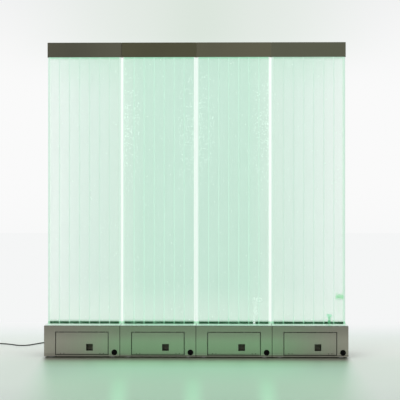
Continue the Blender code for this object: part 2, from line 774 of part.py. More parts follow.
def tank():
    """Cemented clear tank: seven open channels above its floor, an open skirt below it."""
    body = box(
        "tank_body", (-TANK_HALF, -TANK_HALF_DEPTH, TANK_BOTTOM), (TANK_HALF, TANK_HALF_DEPTH, TANK_TOP),
    )
    for index in range(CHANNEL_COUNT):
        middle = channel_middle(index)
        cut(body, box(
            "channel",
            (middle - CHANNEL_WIDTH / 2, -WATER_HALF_DEPTH, TANK_FLOOR_TOP),
            (middle + CHANNEL_WIDTH / 2, WATER_HALF_DEPTH, TANK_TOP + CUT_OVERRUN),
        ))
    notch_half = AIR_BAR_DEPTH / 2 + NOTCH_SLIP
    header = box(
        "header", (-WATER_HALF, -WATER_HALF_DEPTH, TANK_TOP - HEADER_HEIGHT),
        (WATER_HALF, WATER_HALF_DEPTH, TANK_TOP + CUT_OVERRUN),
    )
    notch = box(
        "air_bar_notch", (-WATER_HALF, -notch_half, TANK_FLOOR_TOP),
        (WATER_HALF, notch_half, AIR_BAR_TOP + NOTCH_SLIP),
    )
    skirt = box(
        "skirt", (-WATER_HALF, -WATER_HALF_DEPTH, TANK_BOTTOM - CUT_OVERRUN),
        (WATER_HALF, WATER_HALF_DEPTH, TANK_FLOOR_LOW),
    )
    air_hole = bar(
        "air_hole", (-HOSE_X, 0, TANK_FLOOR_LOW - CUT_OVERRUN), (-HOSE_X, 0, TANK_FLOOR_TOP + CUT_OVERRUN),
        SPIGOT_RADIUS + SEAT_GAP, ROUND_SIDES,
    )
    drain_hole = bar(
        "drain_hole", (HOSE_X, DRAIN_OFFSET, TANK_FLOOR_LOW - CUT_OVERRUN),
        (HOSE_X, DRAIN_OFFSET, TANK_FLOOR_TOP + CUT_OVERRUN), SPIGOT_RADIUS, ROUND_SIDES,
    )
    return cut(body, header, notch, skirt, air_hole, drain_hole)


def air_bar():
    """Hollow bar along the tank's floor: a nozzle in each channel and an inlet spigot below."""
    half = WATER_HALF - SEAT_GAP
    half_depth = AIR_BAR_DEPTH / 2
    body = box("air_bar_body", (-half, -half_depth, AIR_BAR_LOW), (half, half_depth, AIR_BAR_TOP))
    join(body, bar(
        "spigot", (-HOSE_X, 0, AIR_BAR_LOW + AIR_BAR_WALL / 2), (-HOSE_X, 0, SPIGOT_END),
        SPIGOT_RADIUS - SEAT_GAP, ROUND_SIDES,
    ))
    cut(body, box(
        "air_way",
        (AIR_BAR_WALL - half, AIR_BAR_WALL - half_depth, AIR_BAR_LOW + AIR_BAR_WALL),
        (half - AIR_BAR_WALL, half_depth - AIR_BAR_WALL, AIR_BAR_TOP - AIR_BAR_WALL),
    ))
    cut(body, bar(
        "spigot_bore", (-HOSE_X, 0, AIR_BAR_LOW + AIR_BAR_HEIGHT / 2),
        (-HOSE_X, 0, SPIGOT_END - CUT_OVERRUN), SPIGOT_BORE, NOZZLE_SIDES,
    ))
    for index in range(CHANNEL_COUNT):
        for nozzle in range(NOZZLES_PER_CHANNEL):
            share = (nozzle + 1) / (NOZZLES_PER_CHANNEL + 1)
            x = channel_middle(index) + (share - 1 / 2) * CHANNEL_WIDTH
            cut(body, bar(
                "nozzle", (x, 0, AIR_BAR_LOW + AIR_BAR_HEIGHT / 2), (x, 0, AIR_BAR_TOP + CUT_OVERRUN),
                NOZZLE_RADIUS, NOZZLE_SIDES,
            ))
    return body


def light_bar():
    """Finned bar close under the tank's floor, on two legs that stand on the bridge."""
    half = HOSE_X - LIGHT_BAR_END_GAP
    half_depth = WATER_HALF_DEPTH - LIGHT_BAR_SIDE_GAP
    low = LIGHT_BAR_TOP - LIGHT_BAR_HEIGHT
    body = box("light_bar_body", (-half, -half_depth, low), (half, half_depth, LIGHT_BAR_TOP))
    slot_pitch = 2 * half_depth / FIN_COUNT
    for index in range(FIN_COUNT - 1):
        middle = (index - (FIN_COUNT - 2) / 2) * slot_pitch
        cut(body, box(
            "fin_slot",
            (-half - CUT_OVERRUN, middle - FIN_SLOT_WIDTH / 2, low - CUT_OVERRUN),
            (half + CUT_OVERRUN, middle + FIN_SLOT_WIDTH / 2, low + FIN_SLOT_DEPTH),
        ))
    for across in (-1, 1):
        middle = across * (half - LIGHT_BAR_LEG_INSET)
        join(body, box(
            "light_bar_leg",
            (middle - LIGHT_BAR_LEG / 2, -half_depth, TANK_BOTTOM),
            (middle + LIGHT_BAR_LEG / 2, half_depth, low + FIN_SLOT_DEPTH / 2),
        ))
    return body


def air_pump():
    """Pump on rubber feet, its case ribbed on top, its outlet towards the air hose."""
    left = PUMP_HOSE_RUN + PUMP_NOZZLE_LENGTH - HOSE_X
    right = left + PUMP_LENGTH
    back = BACK - PUMP_REAR_INSET
    front = back - PUMP_WIDTH
    low = PAN_TOP + SEAT_GAP + PUMP_FOOT_HEIGHT
    top = low + PUMP_HEIGHT
    case = box("pump_case", (left, front, low), (right, back, top), edge_radius=PUMP_EDGE_RADIUS)
    for index in range(PUMP_RIB_COUNT):
        x = (left + right) / 2 + (index - (PUMP_RIB_COUNT - 1) / 2) * PUMP_RIB_PITCH
        join(case, box(
            "pump_rib",
            (x - PUMP_RIB_WIDTH / 2, front + PUMP_EDGE_RADIUS, top - PUMP_RIB_HEIGHT),
            (x + PUMP_RIB_WIDTH / 2, back - PUMP_EDGE_RADIUS, top + PUMP_RIB_HEIGHT),
        ))
    nozzle_y = (front + back) / 2
    nozzle_z = PAN_TOP + PUMP_NOZZLE_HEIGHT
    join(case, bar(
        "pump_nozzle", (left + PUMP_EDGE_RADIUS, nozzle_y, nozzle_z),
        (left - PUMP_NOZZLE_LENGTH, nozzle_y, nozzle_z), PUMP_NOZZLE_RADIUS, ROUND_SIDES,
    ))
    for x in (left + PUMP_FOOT_INSET, right - PUMP_FOOT_INSET):
        for y in (front + PUMP_FOOT_INSET, back - PUMP_FOOT_INSET):
            join(case, bar(
                "pump_foot", (x, y, PAN_TOP + SEAT_GAP), (x, y, low + PUMP_FOOT_HEIGHT / 2),
                PUMP_FOOT_RADIUS, NOZZLE_SIDES,
            ))
    return case


def power_unit():
    """Finned power and light driver, screwed down by an ear at each end."""
    right = HOSE_X - POWER_END_INSET
    left = right - POWER_LENGTH
    front = -POWER_FRONT_OFFSET
    back = front + POWER_WIDTH
    low = PAN_TOP + SEAT_GAP
    top = low + POWER_HEIGHT
    case = box("power_case", (left, front, low), (right, back, top))
    middle = (left + right) / 2
    for index in range(POWER_GROOVE_COUNT):
        x = middle + (index - (POWER_GROOVE_COUNT - 1) / 2) * POWER_GROOVE_PITCH
        cut(case, box(
            "groove",
            (x - POWER_GROOVE_WIDTH / 2, front - CUT_OVERRUN, top - POWER_GROOVE_DEPTH),
            (x + POWER_GROOVE_WIDTH / 2, back + CUT_OVERRUN, top + CUT_OVERRUN),
        ))
    join(case, box(
        "ears", (left - POWER_EAR, front + POWER_EAR, low),
        (right + POWER_EAR, back - POWER_EAR, low + POWER_EAR_PLATE),
    ))
    return case


def air_hose():
    """From the pump's outlet, up through the bridge, to the air bar's spigot."""
    y = BACK - PUMP_REAR_INSET - PUMP_WIDTH / 2
    z = PAN_TOP + PUMP_NOZZLE_HEIGHT
    straight = 2 * AIR_HOSE_RADIUS
    start = Vector((PUMP_HOSE_RUN - HOSE_X - SEAT_GAP, y, z))
    leaving = start - straight * X_AXIS
    end = Vector((-HOSE_X, 0, SPIGOT_END - SEAT_GAP))
    above = Vector((-HOSE_X, 0, BRIDGE_HEIGHT + straight))
    below = Vector((-HOSE_X, 0, BRIDGE_HEIGHT - BRIDGE_PLATE - straight))
    lower = below - straight * Z_AXIS
    bend = leaving.lerp(lower, 1 / 2) - straight * X_AXIS
    points, _ = smooth_line([start, leaving, bend, lower, below, above, end], 4 * AIR_HOSE_RADIUS)
    points[1] = start - straight * X_AXIS
    return tube("air_hose_tube", points, AIR_HOSE_RADIUS, HOSE_BEVEL_STEPS)


def drain_hose():
    """From the tank's drain hole down to the socket behind the drain plug."""
    straight = 2 * DRAIN_HOSE_RADIUS
    socket_end = SOCKET_FACE + DRAIN_SOCKET_LENGTH
    start = Vector((HOSE_X, DRAIN_OFFSET, TANK_FLOOR_LOW - SEAT_GAP))
    above = Vector((HOSE_X, DRAIN_OFFSET, BRIDGE_HEIGHT + straight))
    below = Vector((HOSE_X, DRAIN_OFFSET, BRIDGE_HEIGHT - BRIDGE_PLATE - straight))
    lower = below - straight * Z_AXIS
    into = Vector((DRAIN_X, socket_end + straight, DRAIN_MIDDLE_HEIGHT))
    end = Vector((DRAIN_X, socket_end - DRAIN_SOCKET_END / 2, DRAIN_MIDDLE_HEIGHT))
    points, _ = smooth_line([start, above, below, lower, into, end], 3 * DRAIN_HOSE_RADIUS)
    hose = tube("drain_hose_tube", points, DRAIN_HOSE_RADIUS, HOSE_BEVEL_STEPS)
    socket = bar(
        "socket", (DRAIN_X, SOCKET_FACE, DRAIN_MIDDLE_HEIGHT), (DRAIN_X, socket_end, DRAIN_MIDDLE_HEIGHT),
        DRAIN_HOLE_RADIUS + DRAIN_SOCKET_WALL, DRAIN_SOCKET_SIDES,
    )
    cut(socket, bar(
        "socket_bore", (DRAIN_X, SOCKET_FACE - CUT_OVERRUN, DRAIN_MIDDLE_HEIGHT),
        (DRAIN_X, socket_end - DRAIN_SOCKET_END, DRAIN_MIDDLE_HEIGHT), DRAIN_HOLE_RADIUS, PLUG_STEPS,
    ))
    return join(hose, socket)


def drain_plug():
    """Rubber plug with a flat head, a ring pressed into it, and a tapered stem."""
    stem = DRAIN_HOLE_RADIUS - PLUG_STEM_SLIP
    head = PLUG_HEAD_RADIUS
    ring = PLUG_RING_RADIUS
    width = PLUG_RING_WIDTH / 2
    seat = PLUG_STEM
    profile = [
        (0, seat + PLUG_HEAD),
        (ring - width, seat + PLUG_HEAD),
        (ring, seat + PLUG_HEAD - PLUG_RING_DEPTH),
        (ring + width, seat + PLUG_HEAD),
        (head - PLUG_HEAD_EDGE, seat + PLUG_HEAD),
        (head, seat + PLUG_HEAD - PLUG_HEAD_EDGE),
        (head, seat),
        (stem, seat),
        (stem - PLUG_STEM_TAPER, 0),
        (0, 0),
    ]
    start = (DRAIN_X, FRONT - SEAT_GAP + PLUG_STEM, DRAIN_MIDDLE_HEIGHT)
    return turned("plug_body", profile, PLUG_STEPS, start, -Y_AXIS)


def cap(low_x, high_x):
    """Folded cover over the tank's open top."""
    cover = box(
        "cover", (low_x, -CAP_HALF_DEPTH, CAP_BOTTOM), (high_x, CAP_HALF_DEPTH, WALL_HEIGHT),
        open_towards=-Z_AXIS, edge_radius=CAP_EDGE_RADIUS, edge_steps=EDGE_STEPS,
    )
    return shell(cover, CAP_SHEET)


def cord_gland():
    """Gland through the casing's back, with a ribbed and tapered strain relief."""
    flange_face = GLAND_BODY_LENGTH
    relief = flange_face + GLAND_FLANGE
    tip = relief + GLAND_RELIEF_LENGTH
    profile = [(0, tip), (GLAND_RELIEF_TIP_RADIUS, tip)]
    for rib in range(GLAND_RELIEF_RIBS):
        for rib_share, raised in GLAND_RIB_SHARES:
            share = (rib + rib_share) / GLAND_RELIEF_RIBS
            radius = GLAND_RELIEF_TIP_RADIUS + (GLAND_RELIEF_RADIUS - GLAND_RELIEF_TIP_RADIUS) * share
            profile.append((radius + raised * GLAND_RELIEF_RIB, tip - share * GLAND_RELIEF_LENGTH))
    profile += [
        (GLAND_RELIEF_RADIUS, relief),
        (GLAND_FLANGE_RADIUS, relief),
        (GLAND_FLANGE_RADIUS, flange_face),
        (GLAND_BODY_RADIUS, flange_face),
        (GLAND_BODY_RADIUS, 0),
        (0, 0),
    ]
    x = module_middle(1) - GLAND_SIDE_OFFSET
    start = (x, BACK + SEAT_GAP - GLAND_BODY_LENGTH, GLAND_HEIGHT)
    return turned("gland_body", profile, GLAND_STEPS, start, Y_AXIS)


def coil_point(turns):
    """Middle line of the coil: inwards on the floor layer, then outwards on the layer above."""
    reverse = COIL_CLIMB_START + COIL_CLIMB_TURNS / 2
    outer = COIL_MEAN_RADIUS + reverse * COIL_TURN_PITCH / 2
    radius = outer - COIL_TURN_PITCH * (reverse - abs(turns - reverse))
    climb = min(max((turns - COIL_CLIMB_START) / COIL_CLIMB_TURNS, 0), 1)
    rise = climb * climb * (3 - 2 * climb)
    angle = math.pi / 2 + 2 * math.pi * turns
    return Vector((
        COIL_CENTRE[0] + radius * math.cos(angle),
        COIL_CENTRE[1] + radius * math.sin(angle),
        CORD_AXIS_HEIGHT + rise * COIL_LAYER_PITCH,
    ))


def coil_line():
    """The coil's whole middle line: a straight start, its turns, and the tail to the mains plug."""
    diameter = 2 * CORD_RADIUS
    steps = round(COIL_TURNS * COIL_POINTS_PER_TURN)
    turns = [coil_point(COIL_TURNS * step / steps) for step in range(steps + 1)]
    into = (turns[1] - turns[0]).normalized()
    into.z = 0
    points = [turns[0] - into * diameter] + turns
    out = (turns[-1] - turns[-2]).normalized()
    out.z = 0
    rise = MAINS_BODY_RADIUS + CORD_FLOOR_GAP - turns[-1].z
    points.append(turns[-1] + out * COIL_TAIL_LENGTH / 2 + rise / 2 * Z_AXIS)
    points.append(turns[-1] + out * COIL_TAIL_LENGTH + rise * Z_AXIS)
    points.append(points[-1] + out * diameter)
    return points, out


def least_self_gap(points, radius):
    """Smallest space between stretches of a tube that lie over three diameters apart along it."""
    along = [0.0]
    for a, b in zip(points, points[1:]):
        along.append(along[-1] + (b - a).length)
    least = None
    for i, a in enumerate(points):
        for j in range(i + 1, len(points)):
            if along[j] - along[i] > 6 * radius:
                gap = (points[j] - a).length - 2 * radius
                least = gap if least is None else min(least, gap)
    return least, along[-1]


def cord_line():
    """The cord from the gland's tip to the coil's straight start."""
    x = module_middle(1) - GLAND_SIDE_OFFSET
    tip = Vector((x, GLAND_TIP + SEAT_GAP, GLAND_HEIGHT))
    coil, _ = coil_line()
    into = (coil[1] - coil[0]).normalized()
    end = coil[0] - into * SEAT_GAP
    diameter = 2 * CORD_RADIUS
    route = [tip, tip + diameter * Y_AXIS] + [Vector(p) for p in CORD_ROUTE] + [end - diameter * into, end]
    points, length = smooth_line(route, CORD_POINT_SPACING)
    points[1] = tip + diameter * Y_AXIS
    points[-2] = end - diameter * into
    return points, length


def mains_plug():
    """Straight two-pin plug lying on its side at the end of the coil's tail."""
    coil, out = coil_line()
    start = coil[-1] + out * SEAT_GAP
    neck = MAINS_NECK_LENGTH
    grip = neck + MAINS_GRIP_LENGTH
    face = grip + MAINS_BODY_LENGTH
    body = MAINS_BODY_RADIUS
    profile = [
        (0, face),
        (body - MAINS_EDGE, face),
        (body, face - MAINS_EDGE),
        (body, grip + MAINS_EDGE),
        (body - MAINS_EDGE, grip),
        (MAINS_GRIP_RADIUS, grip - MAINS_GRIP_LENGTH / 3),
        (MAINS_GRIP_RADIUS, neck + MAINS_EDGE),
        (MAINS_GRIP_RADIUS - MAINS_EDGE, neck),
        (MAINS_RELIEF_RADIUS, neck),
        (MAINS_NECK_RADIUS, 0),
        (0, 0),
    ]
    plug = turned("mains_body", profile, MAINS_STEPS, start, out)
    side = out.cross(Z_AXIS).normalized()
    for across in (-1, 1):
        root = start + out * (face - MAINS_EDGE) + across * side * MAINS_PIN_SPACING / 2
        join(plug, bar(
            "mains_pin", root, root + out * (MAINS_PIN_LENGTH + MAINS_EDGE),
            MAINS_PIN_RADIUS, MAINS_PIN_SIDES,
        ))
    return plug


def build_base(steel, zinc):
    repeat(base_casing(True), "base_casing", steel, numbers=[1])
    repeat(base_casing(False), "base_casing", steel, numbers=list(range(2, MODULE_COUNT + 1)))
    repeat(base_frame(), "base_frame", zinc)
    repeat(hinge_rail(), "hinge_rail", zinc)


def build_hatches(steel, black):
    axis = (0, HINGE_Y, HINGE_Z)
    doors = repeat(hatch(), "hatch", steel, axis)
    pulls = repeat(hatch_pull(), "hatch_pull", black, axis)
    hang_on_axis([doors, pulls], "hatch_axis", axis)


def build_tanks(acrylic, black, aluminium):
    repeat(tank(), "tank", acrylic)
    repeat(air_bar(), "air_bar", black)
    repeat(light_bar(), "light_bar", aluminium)


def build_service_parts(case, aluminium, hose, rubber):
    repeat(air_pump(), "air_pump", case)
    repeat(power_unit(), "power_unit", aluminium)
    repeat(air_hose(), "air_hose", hose, smooth=True)
    repeat(drain_hose(), "drain_hose", hose, smooth=True)
    plug_axis = (DRAIN_X, FRONT, DRAIN_MIDDLE_HEIGHT)
    repeat(drain_plug(), "drain_plug", rubber, plug_axis, smooth=True)


def build_caps(dark_steel):
    for number in range(1, MODULE_COUNT + 1):
        low_x = -CAP_END if number == 1 else -MODULE_HALF
        high_x = CAP_END if number == MODULE_COUNT else MODULE_HALF
        repeat(cap(low_x, high_x), "cap", dark_steel, (0, 0, CAP_BOTTOM), numbers=[number])


def build_cord(rubber):
    points, length = cord_line()
    coil, _ = coil_line()
    gap, coil_length = least_self_gap(coil, CORD_RADIUS)
    cord_gap, _ = least_self_gap(points, CORD_RADIUS)
    print(f"cord: {length:.3f} m lies free, {coil_length:.3f} m is in the coil")
    print(f"least gap of the coil to itself {gap * 1000:.2f} mm, of the cord {cord_gap * 1000:.2f} mm")
    finish(cord_gland(), "cord_gland", rubber, smooth=True)
    finish(tube("cord_tube", points, CORD_RADIUS, CORD_BEVEL_STEPS), "cord", rubber, smooth=True)
    finish(tube("coil_tube", coil, CORD_RADIUS, COIL_BEVEL_STEPS), "cord_coil", rubber, smooth=True)
    finish(mains_plug(), "mains_plug", rubber, smooth=True)


def build():
    steel = new_material("brushed_steel", (0.42, 0.43, 0.40), 0.38, 1.0)
    dark_steel = new_material("dark_brushed_steel", (0.16, 0.16, 0.135), 0.42, 1.0)
    zinc = new_material("zinc_steel", (0.45, 0.46, 0.46), 0.5, 1.0)
    aluminium = new_material("aluminium", (0.62, 0.63, 0.64), 0.45, 1.0)
    acrylic = new_material("clear_acrylic", (0.78, 0.93, 0.86), 0.05, 0.0, 0.35)
    black = new_material("black_plastic", (0.015, 0.016, 0.015), 0.5)
    rubber = new_material("black_rubber", (0.012, 0.012, 0.012), 0.7)
    case = new_material("grey_plastic", (0.10, 0.11, 0.12), 0.55)
    hose = new_material("grey_hose", (0.35, 0.37, 0.36), 0.5)
    build_base(steel, zinc)
    build_hatches(steel, black)
    build_tanks(acrylic, black, aluminium)
    build_service_parts(case, aluminium, hose, rubber)
    build_caps(dark_steel)
    build_cord(rubber)


build()
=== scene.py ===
import math
import random

import bmesh
import bpy
from mathutils import Matrix, Vector


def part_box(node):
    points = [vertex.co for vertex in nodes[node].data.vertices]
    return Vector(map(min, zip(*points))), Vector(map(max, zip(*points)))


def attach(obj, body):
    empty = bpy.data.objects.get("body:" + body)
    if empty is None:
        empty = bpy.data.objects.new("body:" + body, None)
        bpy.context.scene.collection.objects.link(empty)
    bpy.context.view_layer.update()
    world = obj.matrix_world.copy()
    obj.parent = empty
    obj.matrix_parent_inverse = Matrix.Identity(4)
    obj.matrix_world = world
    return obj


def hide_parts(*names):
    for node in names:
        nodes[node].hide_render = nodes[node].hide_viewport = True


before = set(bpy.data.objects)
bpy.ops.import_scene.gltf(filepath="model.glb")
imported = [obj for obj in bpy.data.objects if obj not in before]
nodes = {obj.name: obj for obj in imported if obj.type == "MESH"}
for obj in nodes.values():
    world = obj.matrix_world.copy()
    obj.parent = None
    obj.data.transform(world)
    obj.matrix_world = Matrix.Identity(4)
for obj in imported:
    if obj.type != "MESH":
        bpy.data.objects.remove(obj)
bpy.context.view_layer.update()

modules = (1, 2, 3, 4)


# camera

view = {"lens": 109.7, "sensor": 36.0, "place": (0.162, -8.18, 1.036), "turn": 0.0169}


def linked(name, data):  # a new object in the scene
    made = bpy.data.objects.new(name, data)
    bpy.context.scene.collection.objects.link(made)
    return made


def addCamera():
    data = bpy.data.cameras.new("photoCamera")
    data.lens = view["lens"]
    data.sensor_width = view["sensor"]
    camera = linked("photoCamera", data)
    camera.location = view["place"]
    camera.rotation_euler = (math.pi / 2, 0, view["turn"])
    bpy.context.scene.camera = camera


addCamera()
print("camera set")


# materials: a wire is a node's output, and sums on wires add Math nodes

def shade(red, green, blue):  # an sRGB colour of 0 to 255, made linear
    def straight(value):
        value = value / 255
        return value / 12.92 if value <= 0.04045 else ((value + 0.055) / 1.055) ** 2.4
    return (straight(red), straight(green), straight(blue), 1.0)


def times(colour, factor):
    return tuple(part * factor for part in colour[:3]) + (1.0,)


class Wire:
    def __init__(self, finish, out):
        self.finish = finish
        self.out = out

    def sum(self, operation, *parts):
        return self.finish.node("Math", {"operation": operation}, dict(enumerate(parts)))

    def __add__(self, other):
        return self.sum("ADD", self, other)

    def __radd__(self, other):
        return self.sum("ADD", other, self)

    def __sub__(self, other):
        return self.sum("SUBTRACT", self, other)

    def __rsub__(self, other):
        return self.sum("SUBTRACT", other, self)

    def __mul__(self, other):
        return self.sum("MULTIPLY", self, other)

    def __rmul__(self, other):
        return self.sum("MULTIPLY", other, self)

    def __truediv__(self, other):
        return self.sum("DIVIDE", self, other)

    def __rtruediv__(self, other):
        return self.sum("DIVIDE", other, self)

    def __pow__(self, other):
        return self.sum("POWER", self, other)

    def __abs__(self):
        return self.sum("ABSOLUTE", self)

    def most(self, other):
        return self.sum("MAXIMUM", self, other)

    def above(self, other):
        return self.sum("GREATER_THAN", self, other)

    def fract(self):
        return self.sum("FRACT", self)

    def ease(self, low, high):  # 0 below low and 1 above high, or the other way round
        return self.finish.node(
            "MapRange", {"interpolation_type": "SMOOTHSTEP", "clamp": True},
            {"Value": self, "From Min": low, "From Max": high, "To Min": 0.0, "To Max": 1.0},
        )

    def part(self, share, low, high):  # a share that eases in from low to high
        return share * self.ease(low, high)

    def band(self, start, full, past, end):  # 1 from full to past, and 0 outside start and end
        return self.ease(start, full) * self.ease(end, past)


def picked(sockets, name):  # a socket by its number, or by its name among those in use
    if isinstance(name, int):
        return sockets[name]
    return next(s for s in sockets if s.enabled and name in (s.identifier, s.name))


class Finish:
    def __init__(self, block):
        self.block = block
        block.use_nodes = True
        self.tree = block.node_tree
        self.tree.nodes.clear()

    def node(self, kind, settings=None, sockets=None, out=0):
        made = self.tree.nodes.new("ShaderNode" + kind)
        for name, value in (settings or {}).items():
            if name == "stops":
                ramp = made.color_ramp
                while len(ramp.elements) < len(value):
                    ramp.elements.new(0.5)
                for element, (place, colour) in zip(ramp.elements, value):
                    element.position = place
                    element.color = colour
            else:
                setattr(made, name, value)
        for name, value in (sockets or {}).items():
            socket = picked(made.inputs, name)
            if isinstance(value, Wire):
                self.tree.links.new(value.out, socket)
            else:
                socket.default_value = value
        return None if out is None else Wire(self, picked(made.outputs, out))

    def place(self):
        return self.node("TexCoord", out="Object")

    def axes(self, vector):
        return [self.node("SeparateXYZ", None, {"Vector": vector}, out) for out in (0, 1, 2)]

    def stretched(self, vector, scale):
        return self.node("Mapping", None, {"Vector": vector, "Scale": scale})

    def noise(self, vector, scale, detail=2.0, roughness=0.5):  # one scale, or one for each axis
        if isinstance(scale, tuple):
            vector, scale = self.stretched(vector, scale), 1.0
        return self.node("TexNoise", None, {
            "Vector": vector, "Scale": scale, "Detail": detail, "Roughness": roughness,
        }, "Fac")

    def ramp(self, stops, share):
        stops = [(place, shade(*colour)) for place, colour in stops]
        return self.node("ValToRGB", {"stops": stops}, {"Fac": share}, "Color")

    def blend(self, share, low, high):
        return self.node("Mix", {"data_type": "RGBA"}, {
            "Factor_Float": share, "A_Color": low, "B_Color": high,
        }, "Result_Color")

    def mottled(self, share, colour, low, high):  # a colour from low times to high times itself
        return self.blend(share, times(colour, low), times(colour, high))

    def scaled(self, colour, factor):
        plain = colour if isinstance(colour, Wire) else colour[:3]
        return self.node("VectorMath", {"operation": "SCALE"}, {0: plain, "Scale": factor})

    def bump(self, height, strength, distance):
        return self.node("Bump", None, {"Height": height, "Strength": strength, "Distance": distance})

    def principled(self, **sockets):
        named = {name.replace("_", " "): value for name, value in sockets.items()}
        return self.node("BsdfPrincipled", None, named)

    def surface(self, shader):
        kind = "OutputWorld" if isinstance(self.block, bpy.types.World) else "OutputMaterial"
        self.node(kind, None, {"Surface": shader}, None)
        return self.block


def newFinish(name):
    return Finish(bpy.data.materials.new(name))


# mesh tools

def addPiece(name, bm, finishes, body, smooth=False):
    mesh = bpy.data.meshes.new(name)
    bm.normal_update()
    bm.to_mesh(mesh)
    bm.free()
    for finish in finishes:
        mesh.materials.append(finish)
    piece = linked(name, mesh)
    if smooth:
        mesh.shade_smooth()
        mesh.set_sharp_from_angle(angle=math.radians(40))
    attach(piece, body)
    return piece


def addBlock(bm, low, high, edge=0.0, slot=0):  # a block with eased edges
    low, high = Vector(low), Vector(high)
    made = bmesh.ops.create_cube(bm, size=1.0)["verts"]
    bmesh.ops.scale(bm, vec=high - low, verts=made)
    bmesh.ops.translate(bm, vec=(low + high) / 2, verts=made)
    for vert in made:
        for face in vert.link_faces:
            face.material_index = slot
    if edge:
        edges = list(dict.fromkeys(link for vert in made for link in vert.link_edges))
        bmesh.ops.bevel(bm, geom=edges, offset=edge, segments=2, profile=0.5, affect="EDGES")


def addPlate(bm, outline, lowX, highX):  # an outline in Y and Z, from lowX to highX
    left, right = [[bm.verts.new((x, y, z)) for y, z in outline] for x in (lowX, highX)]
    bm.faces.new(left[::-1])
    bm.faces.new(right)
    for k in range(len(outline)):
        bm.faces.new((left[k - 1], left[k], right[k], right[k - 1]))


def addTurned(bm, profile, start, direction, steps):  # (radius, distance) turned about an axis
    turn = Vector((0, 0, 1)).rotation_difference(Vector(direction)).to_matrix().to_4x4()
    matrix = Matrix.Translation(Vector(start)) @ turn
    rings = []
    for radius, along in profile:
        if radius == 0:
            rings.append([bm.verts.new(matrix @ Vector((0, 0, along)))])
            continue
        rings.append([
            bm.verts.new(matrix @ Vector((
                radius * math.cos(2 * math.pi * k / steps), radius * math.sin(2 * math.pi * k / steps), along,
            ))) for k in range(steps)
        ])
    made = []
    for first, second in zip(rings, rings[1:]):
        for k in range(steps):
            after = (k + 1) % steps
            corners = [first[k % len(first)], first[after % len(first)],
                       second[after % len(second)], second[k % len(second)]]
            corners = list(dict.fromkeys(corners))
            if len(corners) > 2:
                made.append(bm.faces.new(corners))
    bmesh.ops.recalc_face_normals(bm, faces=made)


# cord

cordShape = {
    "radius": 0.0035, "floorGap": 0.0002, "tip": (-0.9000, 0.2236, 0.0600),
    "coilCentre": (-1.512, 0.530), "turns": 5.25, "pointsPerTurn": 24, "meanRadius": 0.040,
    "turnPitch": 0.0076, "layerPitch": 0.0078, "climbStart": 2.5, "climbTurns": 0.5,
    "tail": 0.034, "plugRadius": 0.0185, "plugGap": 0.0003, "roundness": 3, "smoothness": 4,
    "route": [
        (-0.9000, 0.2560, 0.0600), (-0.9010, 0.2900, 0.0510), (-0.9040, 0.3350, 0.0240),
        (-0.9080, 0.3800, 0.0068), (-0.9130, 0.4250, 0.0037), (-0.9200, 0.4900, 0.0037),
        (-0.9370, 0.5600, 0.0037), (-0.9720, 0.6230, 0.0037), (-1.0280, 0.6600, 0.0037),
        (-1.0820, 0.6540, 0.0037), (-1.1220, 0.6160, 0.0037), (-1.1530, 0.5660, 0.0037),
        (-1.1820, 0.5120, 0.0037), (-1.2110, 0.4680, 0.0037), (-1.2480, 0.4520, 0.0037),
        (-1.2870, 0.4690, 0.0037), (-1.3230, 0.5010, 0.0037), (-1.3720, 0.5390, 0.0037),
        (-1.4280, 0.5660, 0.0037), (-1.4700, 0.5780, 0.0037),
    ],
}


def coilPoint(turns):  # inwards on the floor, then outwards one layer up
    reverse = cordShape["climbStart"] + cordShape["climbTurns"] / 2
    outer = cordShape["meanRadius"] + reverse * cordShape["turnPitch"] / 2
    radius = outer - cordShape["turnPitch"] * (reverse - abs(turns - reverse))
    climb = min(max((turns - cordShape["climbStart"]) / cordShape["climbTurns"], 0), 1)
    climb = climb * climb * (3 - 2 * climb)
    angle = math.pi / 2 + 2 * math.pi * turns
    return Vector((
        cordShape["coilCentre"][0] + radius * math.cos(angle),
        cordShape["coilCentre"][1] + radius * math.sin(angle),
        cordShape["radius"] + cordShape["floorGap"] + climb * cordShape["layerPitch"],
    ))


def cordPoints():
    diameter = 2 * cordShape["radius"]
    tip = Vector(cordShape["tip"])
    steps = round(cordShape["turns"] * cordShape["pointsPerTurn"])
    coil = [coilPoint(cordShape["turns"] * k / steps) for k in range(steps + 1)]
    into = (coil[1] - coil[0]).normalized()
    into.z = 0
    out = (coil[-1] - coil[-2]).normalized()
    out.z = 0
    rise = Vector((0, 0, cordShape["plugRadius"] + cordShape["floorGap"] - coil[-1].z))
    tail = [coil[-1] + out * cordShape["tail"] / 2 + rise / 2, coil[-1] + out * cordShape["tail"] + rise]
    tail.append(tail[-1] + out * diameter)
    start = [tip, tip + Vector((0, diameter, 0))] + [Vector(point) for point in cordShape["route"]]
    return start + [coil[0] - into * diameter] + coil + tail, out


def addCord(finish):
    points, out = cordPoints()
    curve = bpy.data.curves.new("cordLead", "CURVE")
    curve.dimensions = "3D"
    curve.bevel_depth = cordShape["radius"]
    curve.bevel_resolution = cordShape["roundness"]
    curve.resolution_u = cordShape["smoothness"]
    curve.use_fill_caps = True
    spline = curve.splines.new("BEZIER")
    spline.bezier_points.add(len(points) - 1)
    for knot, place in zip(spline.bezier_points, points):
        knot.co = place
        knot.handle_left_type = "AUTO"
        knot.handle_right_type = "AUTO"
    curve.materials.append(finish)
    cord = linked("cordLead", curve)
    length = sum((b - a).length for a, b in zip(points, points[1:]))
    print(f"cord of {length:.3f} m laid")
    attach(cord, "wall")
    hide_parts("cord", "cord_coil")
    return cord, length, points[-1], out


# finishes

rubberLook = {
    "colour": (0.0018, 0.0019, 0.0019, 1.0), "spread": (0.7, 1.5), "roughness": 0.52, "mottle": 0.2,
    "shine": 0.06,
}


